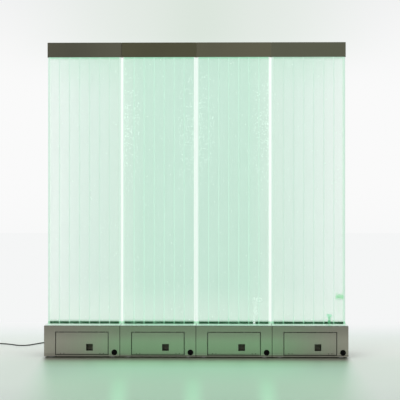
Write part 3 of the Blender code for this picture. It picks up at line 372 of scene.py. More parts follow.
def blackRubber():
    s = rubberLook
    f = newFinish("blackRubber")
    mottle = f.noise(f.place(), 220.0, 3.0)
    return f.surface(f.principled(
        Base_Color=f.mottled(mottle, s["colour"], *s["spread"]),
        Roughness=s["roughness"] + s["mottle"] * mottle, Normal=f.bump(mottle, 0.15, 0.0004),
        Specular_IOR_Level=s["shine"],
    ))


blackPlasticLook = {
    "colour": (0.006, 0.007, 0.005, 1.0), "spread": (0.7, 1.6), "roughness": 0.36, "cloud": 0.12,
    "shine": 0.15,
    # the finger cups' floor, and the depths between which it lies
    "floor": (0.16, 0.165, 0.115, 1.0), "floorBand": (-0.1400, -0.1375, -0.1350, -0.1340),
}


def blackPlastic():
    s = blackPlasticLook
    f = newFinish("blackPlastic")
    place = f.place()
    grain = f.noise(place, 900.0, 1.0)
    cloud = f.noise(place, 25.0)
    colour = f.mottled(cloud, s["colour"], *s["spread"])
    floor = f.axes(place)[1].band(*s["floorBand"])
    return f.surface(f.principled(
        Base_Color=f.blend(floor, colour, s["floor"]), Roughness=s["roughness"] + s["cloud"] * cloud,
        Normal=f.bump(grain, 0.2, 0.0002), Specular_IOR_Level=s["shine"],
    ))


steelLook = {
    "colour": (0.330, 0.310, 0.262, 1.0), "roughness": 0.34, "grain": 0.10,
    # painted green light from the lit water on the fronts, most in the middle of the wall
    "glow": (0.285, 0.410, 0.262, 1.0), "glowMiddle": 0.03, "glowReach": (0.95, 0.42),
    "glowUpper": (-0.4, 0.080, 0.165), "glowFoot": (0.004, 0.030),
    # painted shade and light: by how much, where each starts and where it is full, in height or from a seam;
    # painted shade on the upper front, at the folded top edge, at the foot and at the seams, painted light on
    # the sill
    "upper": (-0.25, 0.10, 0.195), "foldShade": (-0.40, 0.2040, 0.2070), "foot": (-0.20, 0.036, 0.020),
    "sill": (0.16, 0.0190, 0.0165), "seam": (-0.45, 0.007, 0.001),
    # below the three right hatches a painted shadow lies lower on the sill, with a painted highlight on the
    # hatch's edge over it
    "right": (-0.55, -0.45), "shadow": -0.72, "shadowBand": (0.0140, 0.0155, 0.0168, 0.0172),
    "pale": 0.55, "paleBand": (0.0208, 0.0212, 0.0235, 0.0255),
    # painted light on the casings' bottom edge towards the right, and painted shade at its left end
    "hem": (0.0100, 0.0085), "hemRight": (0.80, -0.30, 0.70), "hemLeft": (-0.35, -0.45, -0.55),
    # painted shade on the inner faces seen through the gaps round a hatch, and plain on its inner face
    "innerShade": 0.86, "insideBand": (-0.1797, -0.1790, -0.155, -0.150), "insideEnds": (0.996, 0.990),
    "traySide": (0.161, 0.165), "trayBand": (0.0215, 0.0235, 0.1635, 0.1655),
    # the casings' tops, with a pale painted reflection of the lit tanks, painted shade next to the tanks, and
    # the green light the tanks throw on them painted on as emission
    "top": (0.90, 1.00, 0.93, 1.0), "topHeight": 0.2094, "topTone": 0.55, "topRise": (0.45, 0.172, 0.075),
    "near": (0.072, 0.050), "nearDark": 0.30, "thrown": (0.000, 0.075, 0.030, 1.0),
    "thrownEnds": (0.110, 0.140, 0.120, 1.0), "thrownTurn": (0.40, 0.85),
    "thrownDepth": (0.182, 0.125), "thrownStop": (1.0, 0.97),
}


def frontTone(look, tone, x, y, z):  # the painted shade and light that the seams, folds and gaps give the fronts
    seam = abs((x * 2.0 + 0.5).fract() - 0.5)  # how far the nearest seam is, in widths of a module
    right = x.ease(*look["right"])
    # painted shade on the upper front, the folded top edge and the foot, painted light on the sill
    for row in ("upper", "foldShade", "foot", "sill"):
        tone = tone * (1.0 + z.part(*look[row]))
    tone = tone * (1.0 + seam.part(*look["seam"]))
    tone = tone * (1.0 + look["shadow"] * right * z.band(*look["shadowBand"]))
    tone = tone * (1.0 + look["pale"] * right * z.band(*look["paleBand"]))
    # painted light and shade on the casings' bottom edge
    tone = tone * (1.0 + z.ease(*look["hem"]) * (x.part(*look["hemRight"]) + x.part(*look["hemLeft"])))
    # painted shade on the inner faces behind the gaps
    innerShade = y.band(*look["insideBand"]) * abs(x).ease(*look["insideEnds"])
    tray = seam.ease(*look["traySide"]) * z.band(*look["trayBand"])
    return tone * (1.0 - look["innerShade"] * innerShade * (1.0 - tray))


grainLook = {
    "along": 10.0, "across": 900.0, "coarser": 0.22, "coarse": 0.05, "cloudScale": 3.2, "cloud": 0.10,
}


def brushedSteel(name, look, along):  # along is the axis that its grain follows
    s = grainLook
    f = newFinish(name)
    place = f.place()
    x, y, z = f.axes(place)
    stretch = tuple(s["along"] if axis == along else s["across"] for axis in "xyz")
    grain = f.noise(place, stretch, 3.0, 0.6)
    coarse = f.noise(place, tuple(size * s["coarser"] for size in stretch))
    cloud = f.noise(place, s["cloudScale"])
    tone = 1.0 - look["grain"] / 2 + look["grain"] * grain
    tone = tone + s["coarse"] * (coarse - 0.5) + s["cloud"] * (cloud - 0.5)
    sheet = look["colour"]
    shine = (0.0, 0.0, 0.0, 1.0)
    if "lean" in look:
        tone = tone * (1.0 + x.part(*look["lean"]))
    if "glow" in look:
        # painted green light from the lit water on the fronts
        green = abs(x - look["glowMiddle"]).ease(*look["glowReach"])
        green = green * (1.0 + z.part(*look["glowUpper"])) * z.ease(*look["glowFoot"])
        sheet = f.blend(green, sheet, look["glow"])
        tone = frontTone(look, tone, x, y, z)
        # the tops: a pale painted reflection of the lit tanks, painted shade next to them, and their green
        # light painted on as emission
        upper = z.above(look["topHeight"])
        near = abs(y).ease(*look["near"])
        topTone = look["topTone"] + abs(y).part(*look["topRise"]) - look["nearDark"] * near
        tone = tone + upper * (topTone - tone)
        sheet = f.blend(upper, sheet, look["top"])
        lit = upper * abs(y).ease(*look["thrownDepth"]) * (1.0 - near) * abs(x).ease(*look["thrownStop"])
        thrown = f.blend(abs(x).ease(*look["thrownTurn"]), look["thrown"], look["thrownEnds"])
        shine = f.blend(lit, shine, thrown)
    return f.surface(f.principled(
        Base_Color=f.scaled(sheet, tone), Metallic=1.0, Roughness=look["roughness"] - 0.05 + 0.1 * grain,
        Normal=f.bump(grain, 0.08, 0.0002), Emission_Color=shine, Emission_Strength=1.0,
    ))


metalLooks = {  # colour, roughness and how fine the mottling is
    "zincSheet": ((0.36, 0.37, 0.37, 1.0), 0.5, 45.0), "hingeSteel": ((0.040, 0.041, 0.036, 1.0), 0.55, 45.0),
    "plainAluminium": ((0.55, 0.56, 0.57, 1.0), 0.42, 30.0), "plugPins": ((0.62, 0.55, 0.36, 1.0), 0.3, 60.0),
}


def dullMetal(name):
    colour, roughness, scale = metalLooks[name]
    f = newFinish(name)
    cloud = f.noise(f.place(), scale, 4.0, 0.6)
    return f.surface(f.principled(
        Base_Color=f.mottled(cloud, colour, 0.78, 1.18), Metallic=1.0,
        Roughness=roughness - 0.08 + 0.16 * cloud, Normal=f.bump(cloud, 0.1, 0.0003),
    ))


plasticLooks = {  # colour, roughness and shine
    "pumpCase": ((0.085, 0.095, 0.10, 1.0), 0.5, 0.5), "greyHose": ((0.32, 0.34, 0.33, 1.0), 0.48, 0.5),
    "airBarPlastic": ((0.024, 0.098, 0.044, 1.0), 0.5, 0.08),
}


def mouldedPlastic(name):
    colour, roughness, shine = plasticLooks[name]
    f = newFinish(name)
    grain = f.noise(f.place(), 700.0, 1.0)
    cloud = f.noise(f.place(), 18.0)
    return f.surface(f.principled(
        Base_Color=f.mottled(cloud, colour, 0.85, 1.15), Roughness=roughness - 0.06 + 0.12 * cloud,
        Normal=f.bump(grain, 0.25, 0.0003), Specular_IOR_Level=shine,
    ))


acrylicLook = {
    "tint": (0.978, 0.996, 0.986, 1.0), "gloss": 0.009, "rim": 0.75, "rimPower": 5.0, "roughness": 0.03,
}


def clearAcrylic():
    s = acrylicLook
    f = newFinish("clearAcrylic")
    streak = f.noise(f.place(), (40.0, 40.0, 2.0))
    tint = f.blend(streak, times(s["tint"], 0.985), s["tint"])
    clear = f.node("BsdfTransparent", None, {"Color": s["tint"]})
    gloss = f.principled(Base_Color=tint, Metallic=1.0, Roughness=s["roughness"])
    facing = f.node("LayerWeight", None, {"Blend": 0.5}, "Facing")
    share = s["gloss"] + s["rim"] * facing ** s["rimPower"]
    return f.surface(f.node("MixShader", None, {"Fac": share, 1: clear, 2: gloss}))


waterLook = {
    "alpha": 0.66, "glow": 0.72, "base": 0.405, "roughness": 0.35,
    # the pane's colour, which carries painted light, from the wall's middle out to its ends: greener in the
    # middle, paler at the ends
    "across": [
        (0.00, (193, 220, 207)), (0.35, (193, 221, 207)), (0.50, (207, 225, 215)),
        (0.65, (211, 227, 219)), (0.80, (218, 230, 224)), (0.95, (227, 233, 230)), (1.0, (228, 234, 231)),
    ],
    # what makes it uneven: how strongly, at which scale along each axis, and how rough
    "waves": [
        (0.09, (150.0, 150.0, 110.0), 0.7), (0.05, (90.0, 90.0, 1.2), 0.6), (0.05, (6.0, 6.0, 1.5), 0.5),
    ],
    "sparkle": (0.035, 0.16, 0.06), "sparkleScale": (70.0, 70.0, 60.0),
    # a colour with its share, where it starts and where it is full, in height or along the wall
    # painted light: a greener and slightly darker glow towards the head
    "head": (190, 232, 207), "headShare": 0.25, "headDark": 0.03, "headRise": (1.70, 2.0),
    "headInner": 0.35, "headOuter": (0.65, 0.30, 0.60), "headEnds": (-0.45, 0.80, 0.95),
    # a paler painted glow low down
    "low": (226, 236, 226), "lowPart": (0.4, 0.50, 0.24),
    # a darker green painted glow at the foot, over the air bar
    "foot": (110, 172, 134), "footPart": (0.48, 0.2400, 0.2250),
    "footRight": (-0.30, -0.02, 0.02), "footEnd": (-0.20, 0.84, 0.90),
    # painted shade over the water's right end
    "end": (194, 222, 203), "endPart": (0.8, 0.976, 0.979),
    # a painted green reflection of the water just under the caps
    "browReflection": (168, 255, 205), "browShare": 0.50, "browBand": (1.9795, 1.9855, 1.994, 2.006),
    "browRight": (-0.5, 0.45, 0.55),
}


def bubblingWater():
    s = waterLook
    f = newFinish("bubblingWater")
    place = f.place()
    x, _, z = f.axes(place)
    tone = 1.0
    for share, scale, roughness in s["waves"]:
        tone = tone + share * (f.noise(place, scale, 2.0, roughness) - 0.5)
    cells = f.node("TexVoronoi", None, {
        "Vector": f.stretched(place, s["sparkleScale"]), "Scale": 1.0, "Randomness": 1.0,
    }, "Distance")
    tone = tone + cells.part(*s["sparkle"])
    head = s["headInner"] + abs(x).part(*s["headOuter"]) + abs(x).part(*s["headEnds"])
    head = z.ease(*s["headRise"]) * head
    tone = tone * (1.0 - s["headDark"] * head)
    pane = f.ramp(s["across"], abs(x))
    pane = f.blend(s["headShare"] * head, pane, shade(*s["head"]))
    pane = f.blend(z.part(*s["lowPart"]), pane, shade(*s["low"]))
    foot = z.part(*s["footPart"]) * (1.0 + x.part(*s["footRight"]) + x.part(*s["footEnd"]))
    pane = f.blend(foot, pane, shade(*s["foot"]))
    pane = f.blend(x.part(*s["endPart"]), pane, shade(*s["end"]))
    browReflection = s["browShare"] * z.band(*s["browBand"]) * (1.0 + x.part(*s["browRight"]))
    pane = f.blend(browReflection, pane, shade(*s["browReflection"]))
    # the water's glow is painted light: an emission standing in for the light bar's light in the water
    return f.surface(f.principled(
        Base_Color=f.scaled(pane, tone * s["base"]), Roughness=s["roughness"], Alpha=s["alpha"],
        Emission_Color=f.scaled(pane, tone * s["glow"]), Emission_Strength=1.0, IOR=1.33,
    ))


litLook = {"base": 0.4, "streak": 0.08, "roughness": 0.2}


def litAcrylic(name, colour, alpha, glow, foot=None, turn=None):  # acrylic that carries the light, its glow painted on as emission
    s = litLook
    f = newFinish(name)
    place = f.place()
    x, _, z = f.axes(place)
    tone = 1.0 - s["streak"] / 2 + s["streak"] * f.noise(place, (300.0, 300.0, 3.0))
    own = shade(*colour)
    if turn:  # goes over to a second colour between two places along the wall
        start, end, second = turn
        own = f.blend(x.ease(start, end), own, shade(*second))
    lit = f.scaled(own, tone * glow)
    body = f.scaled(own, tone * s["base"])
    if foot:  # a darker green band painted where the air bar shows in it
        low = abs(z - foot["middle"]).ease(foot["reach"], foot["core"]) * foot["share"]
        lit = f.blend(low, lit, shade(*foot["colour"]))
        body = f.blend(low, body, shade(*foot["colour"]))
    return f.surface(f.principled(
        Base_Color=body, Roughness=s["roughness"], Alpha=alpha, Emission_Color=lit, Emission_Strength=1.0,
    ))


def bubbleSkin(name, colour, glow, base):
    f = newFinish(name)
    cloud = f.noise(f.place(), 160.0, 1.0)
    lit = f.scaled(shade(*colour), (0.9 + 0.2 * cloud) * glow)
    return f.surface(f.principled(
        Base_Color=times(shade(*colour), base), Roughness=0.12, Emission_Color=lit, Emission_Strength=1.0,
    ))


rubber = blackRubber()
cupPlastic = blackPlastic()
steel = brushedSteel("brushedSteel", steelLook, "z")
capLook = {"roughness": 0.4, "grain": 0.14}
capLooks = {  # each with a soft lift in tone towards its right end
    1: {"colour": (0.066, 0.064, 0.047, 1.0), "lean": (0.32, -0.85, -0.50)},
    2: {"colour": (0.071, 0.069, 0.042, 1.0), "lean": (0.12, -0.35, 0.00)},
    3: {"colour": (0.105, 0.101, 0.068, 1.0), "lean": (0.14, 0.05, 0.50)},
    4: {"colour": (0.105, 0.107, 0.075, 1.0), "lean": (0.03, 0.60, 1.00)},
}
capSteels = {n: brushedSteel(f"capSteel{n}", {**capLook, **capLooks[n]}, "x") for n in modules}
zinc = dullMetal("zincSheet")
hingeSteel = dullMetal("hingeSteel")
aluminium = dullMetal("plainAluminium")
pinMetal = dullMetal("plugPins")
pumpCase = mouldedPlastic("pumpCase")
hoseRubber = mouldedPlastic("greyHose")
airBarPlastic = mouldedPlastic("airBarPlastic")
acrylic = clearAcrylic()
water = bubblingWater()
print("finishes made")


# cord and what is on it

plugShape = {
    "body": 0.0185, "bodyLength": 0.034, "grip": 0.0125, "gripLength": 0.020, "swell": 0.0016, "neck": 0.0055,
    "neckLength": 0.012, "relief": 0.0065, "edge": 0.0015, "pin": 0.0024, "pinLength": 0.019,
    "pinSpacing": 0.019, "steps": 48, "pinSteps": 20,
}


def addMainsPlug(start, out):
    s = plugShape
    grip = s["neckLength"] + s["gripLength"]
    face = grip + s["bodyLength"]
    profile = [
        (0, 0), (s["neck"], 0), (s["relief"], s["neckLength"]), (s["grip"] - s["edge"], s["neckLength"]),
        (s["grip"], s["neckLength"] + s["edge"]), (s["grip"], grip - s["gripLength"] / 2),
        (s["grip"] + s["swell"], grip - s["gripLength"] / 4), (s["body"] - s["edge"], grip),
        (s["body"] - s["edge"] / 3, grip + s["edge"] / 3), (s["body"], grip + s["edge"]),
        (s["body"], face - s["edge"]), (s["body"] - s["edge"] / 3, face - s["edge"] / 3),
        (s["body"] - s["edge"], face), (0, face),
    ]
    bm = bmesh.new()
    addTurned(bm, profile, start, out, s["steps"])
    body = addPiece("mainsPlugBody", bm, [rubber], "wall", smooth=True)
    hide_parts("mains_plug")
    side = out.cross(Vector((0, 0, 1))).normalized()
    pin = s["pin"]
    reach = s["pinLength"] + s["edge"]
    profile = [(0, 0), (pin, 0), (pin, reach - pin), (pin * 0.8, reach - pin * 0.35), (0, reach)]
    bm = bmesh.new()
    for across in (-1, 1):
        root = start + out * (face - s["edge"]) + across * side * s["pinSpacing"] / 2
        addTurned(bm, profile, root, out, s["pinSteps"])
    pins = addPiece("mainsPlugPins", bm, [pinMetal], "wall", smooth=True)
    return body, pins


glandShape = {
    "start": (-0.9000, 0.1683, 0.0600), "body": 0.008, "bodyLength": 0.012, "flange": 0.012,
    "flangeLength": 0.005, "flangeEdge": 0.0006, "flangeRound": 0.0010,
    "relief": 0.0072, "reliefTip": 0.0050, "reliefLength": 0.038, "rib": 0.0006, "ribs": 6,
    "ribShape": [(0.12, 1), (0.55, 1), (0.67, 0), (0.98, 0)], "steps": 40,
}


def addGland():
    s = glandShape
    relief = s["bodyLength"] + s["flangeLength"]
    edge, rounded = s["flangeEdge"], s["flangeRound"]
    profile = [
        (0, 0), (s["body"], 0), (s["body"], s["bodyLength"]), (s["flange"] - edge, s["bodyLength"]),
        (s["flange"], s["bodyLength"] + edge), (s["flange"], relief - rounded),
        (s["flange"] - rounded, relief), (s["relief"], relief),
    ]
    for rib in range(s["ribs"]):
        for share, raised in s["ribShape"]:
            along = (rib + share) / s["ribs"]
            radius = s["relief"] + (s["reliefTip"] - s["relief"]) * along
            profile.append((radius + raised * s["rib"], relief + along * s["reliefLength"]))
    profile += [(s["reliefTip"], relief + s["reliefLength"]), (0, relief + s["reliefLength"])]
    bm = bmesh.new()
    addTurned(bm, profile, s["start"], (0, 1, 0), s["steps"])
    gland = addPiece("cordRelief", bm, [rubber], "wall", smooth=True)
    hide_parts("cord_gland")
    return gland


tieShape = {
    "angle": 205.0, "inner": 0.0285, "outer": 0.0505, "width": 0.010, "thickness": 0.0008, "clear": 0.0003,
    "steps": 40, "innerFloor": 0.00012, "outerFloor": 0.00004,
}


def addCoilTie():  # a strap round the coil's turns
    s = tieShape
    radius = cordShape["radius"]
    angle = math.radians(s["angle"])
    outward = Vector((math.cos(angle), math.sin(angle), 0))
    along = Vector((-outward.y, outward.x, 0))
    centre = Vector((*cordShape["coilCentre"], 0))
    inner, outer = s["inner"] - radius, s["outer"] + radius
    low, high = cordShape["floorGap"], cordShape["floorGap"] + 2 * radius + cordShape["layerPitch"]
    middleR, middleZ = (inner + outer) / 2, (low + high) / 2
    halfR, halfZ = (outer - inner) / 2 + s["clear"], (high - low) / 2 + s["clear"]
    bm = bmesh.new()
    rings = []
    count = s["steps"]
    for k in range(count):
        t = 2 * math.pi * k / count
        bulge = (abs(math.cos(t)) ** 4 + abs(math.sin(t)) ** 4) ** -0.25
        ring = []
        for extra, side in ((0, -1), (0, 1), (s["thickness"], 1), (s["thickness"], -1)):
            r = middleR + (halfR + extra) * bulge * math.cos(t)
            z = middleZ + (halfZ + extra) * bulge * math.sin(t)
            z = max(z, s["outerFloor"] if extra else s["innerFloor"])
            across = along * side * s["width"] / 2
            ring.append(bm.verts.new(centre + outward * r + across + Vector((0, 0, z))))
        rings.append(ring)
    for k in range(count):
        first, second = rings[k], rings[(k + 1) % count]
        for j in range(4):
            bm.faces.new((first[j], first[(j + 1) % 4], second[(j + 1) % 4], second[j]))
    bmesh.ops.recalc_face_normals(bm, faces=bm.faces)
    return addPiece("coilTie", bm, [cupPlastic], "wall", smooth=True)


cord, cordLength, cordEnd, cordOut = addCord(rubber)
plugBody, plugPins = addMainsPlug(cordEnd + cordOut * cordShape["plugGap"], cordOut)
gland = addGland()
tie = addCoilTie()
print("cord, plug, relief and tie made")


# carried-over metal and moulded pieces

kept = {
    "base_casing": steel, "hatch": steel, "hatch_pull": cupPlastic, "base_frame": zinc,
    "hinge_rail": hingeSteel, "light_bar": aluminium, "power_unit": aluminium, "air_pump": pumpCase,
    "air_hose": hoseRubber, "drain_hose": hoseRubber, "air_bar": airBarPlastic,
}


def dressKept():
    for kind, finish in kept.items():
        for n in modules:
            nodes[f"{kind}_{n}"].material_slots[0].material = finish
    for n in modules:
        nodes[f"cap_{n}"].material_slots[0].material = capSteels[n]


dressKept()
print("carried-over pieces dressed")


# small pieces on the fronts

plugLook = {
    "head": 0.019, "height": 0.0035, "edge": 0.001, "ring": 0.0075, "ringWidth": 0.0016, "ringDepth": 0.0009,
    "stem": 0.0128, "stemTip": 0.0116, "stemLength": 0.017, "steps": 56,
    "groove": [(0.0042, 0), (0.0048, 0.0004), (0.0056, 0.0004), (0.0062, 0)],  # (in from the rim, depth)
}


def addDrainPlugs():
    s = plugLook
    for n in modules:
        low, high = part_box(f"drain_plug_{n}")
        centre = (low + high) / 2
        face = s["stemLength"] + s["height"]
        groove = [(s["head"] - inwards, face - depth) for inwards, depth in s["groove"]]
        profile = [
            (0, 0), (s["stemTip"], 0), (s["stem"], s["stemLength"]), (s["head"], s["stemLength"]),
            (s["head"], face - s["edge"]), (s["head"] - s["edge"] * 0.3, face - s["edge"] * 0.3),
            (s["head"] - s["edge"], face), *groove, (s["ring"] + s["ringWidth"] / 2, face),
            (s["ring"], face - s["ringDepth"]), (s["ring"] - s["ringWidth"] / 2, face), (0, face),
        ]
        bm = bmesh.new()
        addTurned(bm, profile, (centre.x, high.y, centre.z), (0, -1, 0), s["steps"])
        plug = addPiece(f"drainPlug_{n}", bm, [rubber], f"drain_plug_body_{n}", smooth=True)
        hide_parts(f"drain_plug_{n}")


rivetLook = {
    "radius": 0.0031, "height": 0.0009, "across": (-0.141, -0.119, 0.119, 0.141), "rise": 0.0275,
    "dark": (0.035, 0.04, 0.03, 1.0), "light": (0.06, 0.065, 0.05, 1.0), "roughness": 0.35,
    "rings": 6, "steps": 16,
}


def addRivets():
    s = rivetLook
    f = newFinish("rivetHeads")
    cloud = f.noise(f.place(), 300.0, 1.0)
    finish = f.surface(f.principled(
        Base_Color=f.blend(cloud, s["dark"], s["light"]), Metallic=1.0,
        Roughness=s["roughness"] + 0.1 * cloud,
    ))
    dome = [(s["radius"], 0)]
    for k in range(1, s["rings"]):
        angle = math.pi / 2 * k / s["rings"]
        dome.append((s["radius"] * math.cos(angle), s["height"] * math.sin(angle)))
    dome.append((0, s["height"]))
    for n in modules:
        low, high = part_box(f"hatch_{n}")
        middle = (low.x + high.x) / 2
        bm = bmesh.new()
        for x in s["across"]:
            addTurned(bm, dome, (middle + x, low.y, s["rise"]), (0, -1, 0), s["steps"])
        rivets = addPiece(f"hatchRivets_{n}", bm, [finish], f"hatch_body_{n}", smooth=True)


filterLook = {
    "half": 0.066, "low": 0.086, "high": 0.150, "thick": 0.0042, "gap": 0.0003, "rim": 0.0035,
    "sheet": 0.002, "padGap": 0.0006, "proud": 0.0008, "edge": 0.0004,
    "dark": (0.004, 0.004, 0.004, 1.0), "light": (0.020, 0.021, 0.020, 1.0), "roughness": 0.95,
}


def addVentFilters():  # a foam pad in a frame behind each casing's vents
    s = filterLook
    f = newFinish("filterFoam")
    cells = f.node("TexVoronoi", None, {"Vector": f.place(), "Scale": 900.0}, "Distance")
    foam = f.surface(f.principled(
        Base_Color=f.blend(cells, s["dark"], s["light"]), Roughness=s["roughness"],
        Normal=f.bump(cells, 0.6, 0.0005),
    ))
    for n in modules:
        low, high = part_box(f"base_casing_{n}")
        middle = (low.x + high.x) / 2
        back = high.y - s["sheet"] - s["gap"]
        front = back - s["thick"]
        left, right = middle - s["half"], middle + s["half"]
        inLeft, inRight = left + s["rim"], right - s["rim"]
        inLow, inHigh = s["low"] + s["rim"], s["high"] - s["rim"]
        bm = bmesh.new()
        addBlock(bm, (inLeft, front, inLow), (inRight, back - s["padGap"], inHigh))
        for start, end in (
            ((left, s["low"]), (right, inLow)), ((left, inHigh), (right, s["high"])),
            ((left, inLow), (inLeft, inHigh)), ((inRight, inLow), (right, inHigh)),
        ):
            addBlock(bm, (start[0], front - s["proud"], start[1]), (end[0], back, end[1]), s["edge"], 1)
        pad = addPiece(f"ventFilter_{n}", bm, [foam, cupPlastic], "wall")


addDrainPlugs()
addRivets()
addVentFilters()
print("drain plugs, rivets and vent filters made")


# tanks

tankLook = {
    "sheet": 0.010, "endWall": 0.010, "divider": 0.004, "channels": 7, "floorTop": 0.206, "floorLow": 0.196,
    "header": 0.030, "notchHalf": 0.0154, "notchTop": 0.2217, "edge": 0.0006, "slip": 0.0003,
    "waterLow": 0.2232, "waterTop": 2.030, "waterInset": 0.0035, "waterEdge": 0.002,
    # the alpha and painted glow of the lit faces and edges, and where an edge goes over to its second tint
    "faceColour": (196, 232, 210), "wallFace": (0.75, 0.70), "wallEdge": (0.92, 0.64),
    "dividerFace": (0.5, 0.55), "dividerEdge": (0.8, 0.6), "turn": (0.003, 0.007),
}
tints = {  # how strongly an edge of acrylic lights up, in painted glow
    "white": (254, 255, 253), "bright": (249, 253, 250), "pale": (239, 248, 243),
    "soft": (223, 236, 229), "dull": (214, 233, 223), "deep": (206, 226, 215),
}
edgeTints = {  # each end wall's front edge, from its outer side (first) to the water (second)
    1: (("dull", "deep"), ("dull", "dull")),
    2: (("pale", "dull"), ("bright", "pale")),
    3: (("pale", "deep"), ("white", "bright")),
    4: (("dull", "dull"), ("deep", "deep")),
}
# the dividers' painted glow, greener and brighter in the two middle tanks
dividerColours = {1: (206, 230, 217), 2: (208, 242, 225), 3: (208, 242, 225), 4: (206, 229, 217)}
footTicks = {1: 0.35, 2: 0.75, 3: 0.75, 4: 0.75}  # how far each tank's dividers darken at the foot, in a painted darker band
edgeFoot = {"middle": 0.2175, "reach": 0.011, "core": 0.003, "share": 0.80, "colour": (92, 160, 116)}
dividerFoot = {"middle": 0.215, "reach": 0.050, "core": 0.006, "colour": (110, 180, 138)}
stripLook = {"depth": 0.020, "height": 0.0008, "sink": 0.0004, "edge": 0.0005, "clear": 0.001}


def tankPlan(n):  # its box, the pitch of its channels and their middles
    s = tankLook
    low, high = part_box(f"tank_{n}")
    pitch = (high.x - low.x - 2 * s["endWall"] + s["divider"]) / s["channels"]
    middle = (low.x + high.x) / 2
    return low, high, pitch, [middle + (k - (s["channels"] - 1) / 2) * pitch for k in range(s["channels"])]


def markSides(bm, slot):  # the faces that look along the wall
    bm.normal_update()
    for face in bm.faces:
        if abs(face.normal.x) > 0.5:
            face.material_index = slot


def addAirStrips(n, middles, width):  # the porous strip on the air bar, channel by channel
    s = stripLook
    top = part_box(f"air_bar_{n}")[1].z
    half = width / 2 - s["clear"]
    bm = bmesh.new()
    for x in middles:
        addBlock(bm, (x - half, -s["depth"] / 2, top - s["sink"]),
                 (x + half, s["depth"] / 2, top + s["height"]), s["edge"])
    strips = addPiece(f"airStrips_{n}", bm, [airBarPlastic], "wall")


def addTank(n):
    s = tankLook
    low, high, pitch, middles = tankPlan(n)
    innerY = high.y - s["sheet"]
    front, back = s["slip"] - innerY, innerY - s["slip"]
    bm = bmesh.new()
    for start, end in ((low.y, -innerY), (innerY, high.y)):
        addBlock(bm, (low.x, start, low.z), (high.x, end, high.z), s["edge"])
    sheets = addPiece(f"tankSheets_{n}", bm, [acrylic], "wall")
    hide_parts(f"tank_{n}")

    (leftOuter, leftInner), (rightOuter, rightInner) = [[tints[k] for k in pair] for pair in edgeTints[n]]
    start, end = s["turn"]
    leftTurn = (low.x + start, low.x + end, leftInner)
    rightTurn = (high.x - start, high.x - end, rightInner)
    sideFace = litAcrylic(f"endWallFace_{n}", s["faceColour"], *s["wallFace"])
    leftEdge = litAcrylic(f"leftWallEdge_{n}", leftOuter, *s["wallEdge"], edgeFoot, leftTurn)
    rightEdge = litAcrylic(f"rightWallEdge_{n}", rightOuter, *s["wallEdge"], edgeFoot, rightTurn)
    bm = bmesh.new()
    for slot, start, end in ((1, low.x, low.x + s["endWall"]), (2, high.x - s["endWall"], high.x)):
        addBlock(bm, (start, front, low.z), (end, back, high.z), 0.0, slot)
    markSides(bm, 0)
    addBlock(bm, (low.x + s["endWall"] + s["slip"], front, s["floorLow"]),
             (high.x - s["endWall"] - s["slip"], back, s["floorTop"]))
    ends = addPiece(f"tankEnds_{n}", bm, [sideFace, leftEdge, rightEdge], "wall")

    foot = dict(dividerFoot, share=footTicks[n])
    edgeFinish = litAcrylic(f"dividerEdge_{n}", dividerColours[n], *s["dividerEdge"], foot)
    faceFinish = litAcrylic(f"dividerFace_{n}", dividerColours[n], *s["dividerFace"])
    notch, top = s["notchHalf"], high.z - s["header"]
    outline = [
        (front, s["floorTop"]), (-notch, s["floorTop"]), (-notch, s["notchTop"]), (notch, s["notchTop"]),
        (notch, s["floorTop"]), (back, s["floorTop"]), (back, top), (front, top),
    ]
    bm = bmesh.new()
    for x in middles[1:]:  # a divider on the left of each channel but the first
        addPlate(bm, outline, x - (pitch + s["divider"]) / 2, x - (pitch - s["divider"]) / 2)
    markSides(bm, 1)
    addAirStrips(n, middles, pitch - s["divider"])
    dividers = addPiece(f"tankDividers_{n}", bm, [edgeFinish, faceFinish], "wall")

    bm = bmesh.new()
    half = (pitch - s["divider"]) / 2 - s["slip"]
    depth = innerY - s["waterInset"]
    for x in middles:
        addBlock(bm, (x - half, -depth, s["waterLow"]), (x + half, depth, s["waterTop"]), s["waterEdge"])
    body = addPiece(f"tankWater_{n}", bm, [water], "wall")


jointLook = {
    "slip": 0.0004, "depth": 0.072, "low": 0.2104, "high": 1.989, "edge": 0.001, "light": (0.94, 0.66),
    "footShare": 0.6,
    # each strip's left and right tint of painted glow, and where one goes over to the other
    "tints": {
        1: ("soft", "white", -0.005, 0.003), 2: ("soft", "pale", -0.003, 0.002),
        3: ("bright", "dull", -0.004, 0.004),
    },
}


def addJoint(n):  # the clear strip between a tank and the next one, lit with a painted glow
    s = jointLook
    left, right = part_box(f"tank_{n}")[1].x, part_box(f"tank_{n + 1}")[0].x
    half = s["depth"] / 2
    bm = bmesh.new()
    addBlock(bm, (left + s["slip"], -half, s["low"]), (right - s["slip"], half, s["high"]), s["edge"])
    first, second, start, end = s["tints"][n]
    middle = (left + right) / 2
    turn = (middle + start, middle + end, tints[second])
    foot = dict(edgeFoot, share=s["footShare"])
    finish = litAcrylic(f"tankJoint_{n}", tints[first], *s["light"], foot, turn)
    joint = addPiece(f"tankJoint_{n}", bm, [finish], "wall")


for n in modules:
    addTank(n)
for n in modules[:-1]:
    addJoint(n)
print("tanks made")


# bubbles

bubbleLook = {
    "seed": 11, "perChannel": 34, "size": (0.0012, 0.0036, 2.2), "tall": (0.8, 1.25),
    # how far they keep from the pane, the dividers and the water's foot and top
    "gap": 0.0003, "clear": 0.001, "foot": 0.01, "top": 0.02,
}


def sized(chance, least, most, power=1):  # a bubble's radius
    return least + (most - least) * chance.random() ** power


def ballMesh(level):
    bm = bmesh.new()
    bmesh.ops.create_icosphere(bm, subdivisions=level, radius=1.0)
    verts = [tuple(vert.co) for vert in bm.verts]
    faces = [tuple(vert.index for vert in face.verts) for face in bm.faces]
    bm.free()
    return verts, faces


smallBall = ballMesh(1)
largeBall = ballMesh(2)


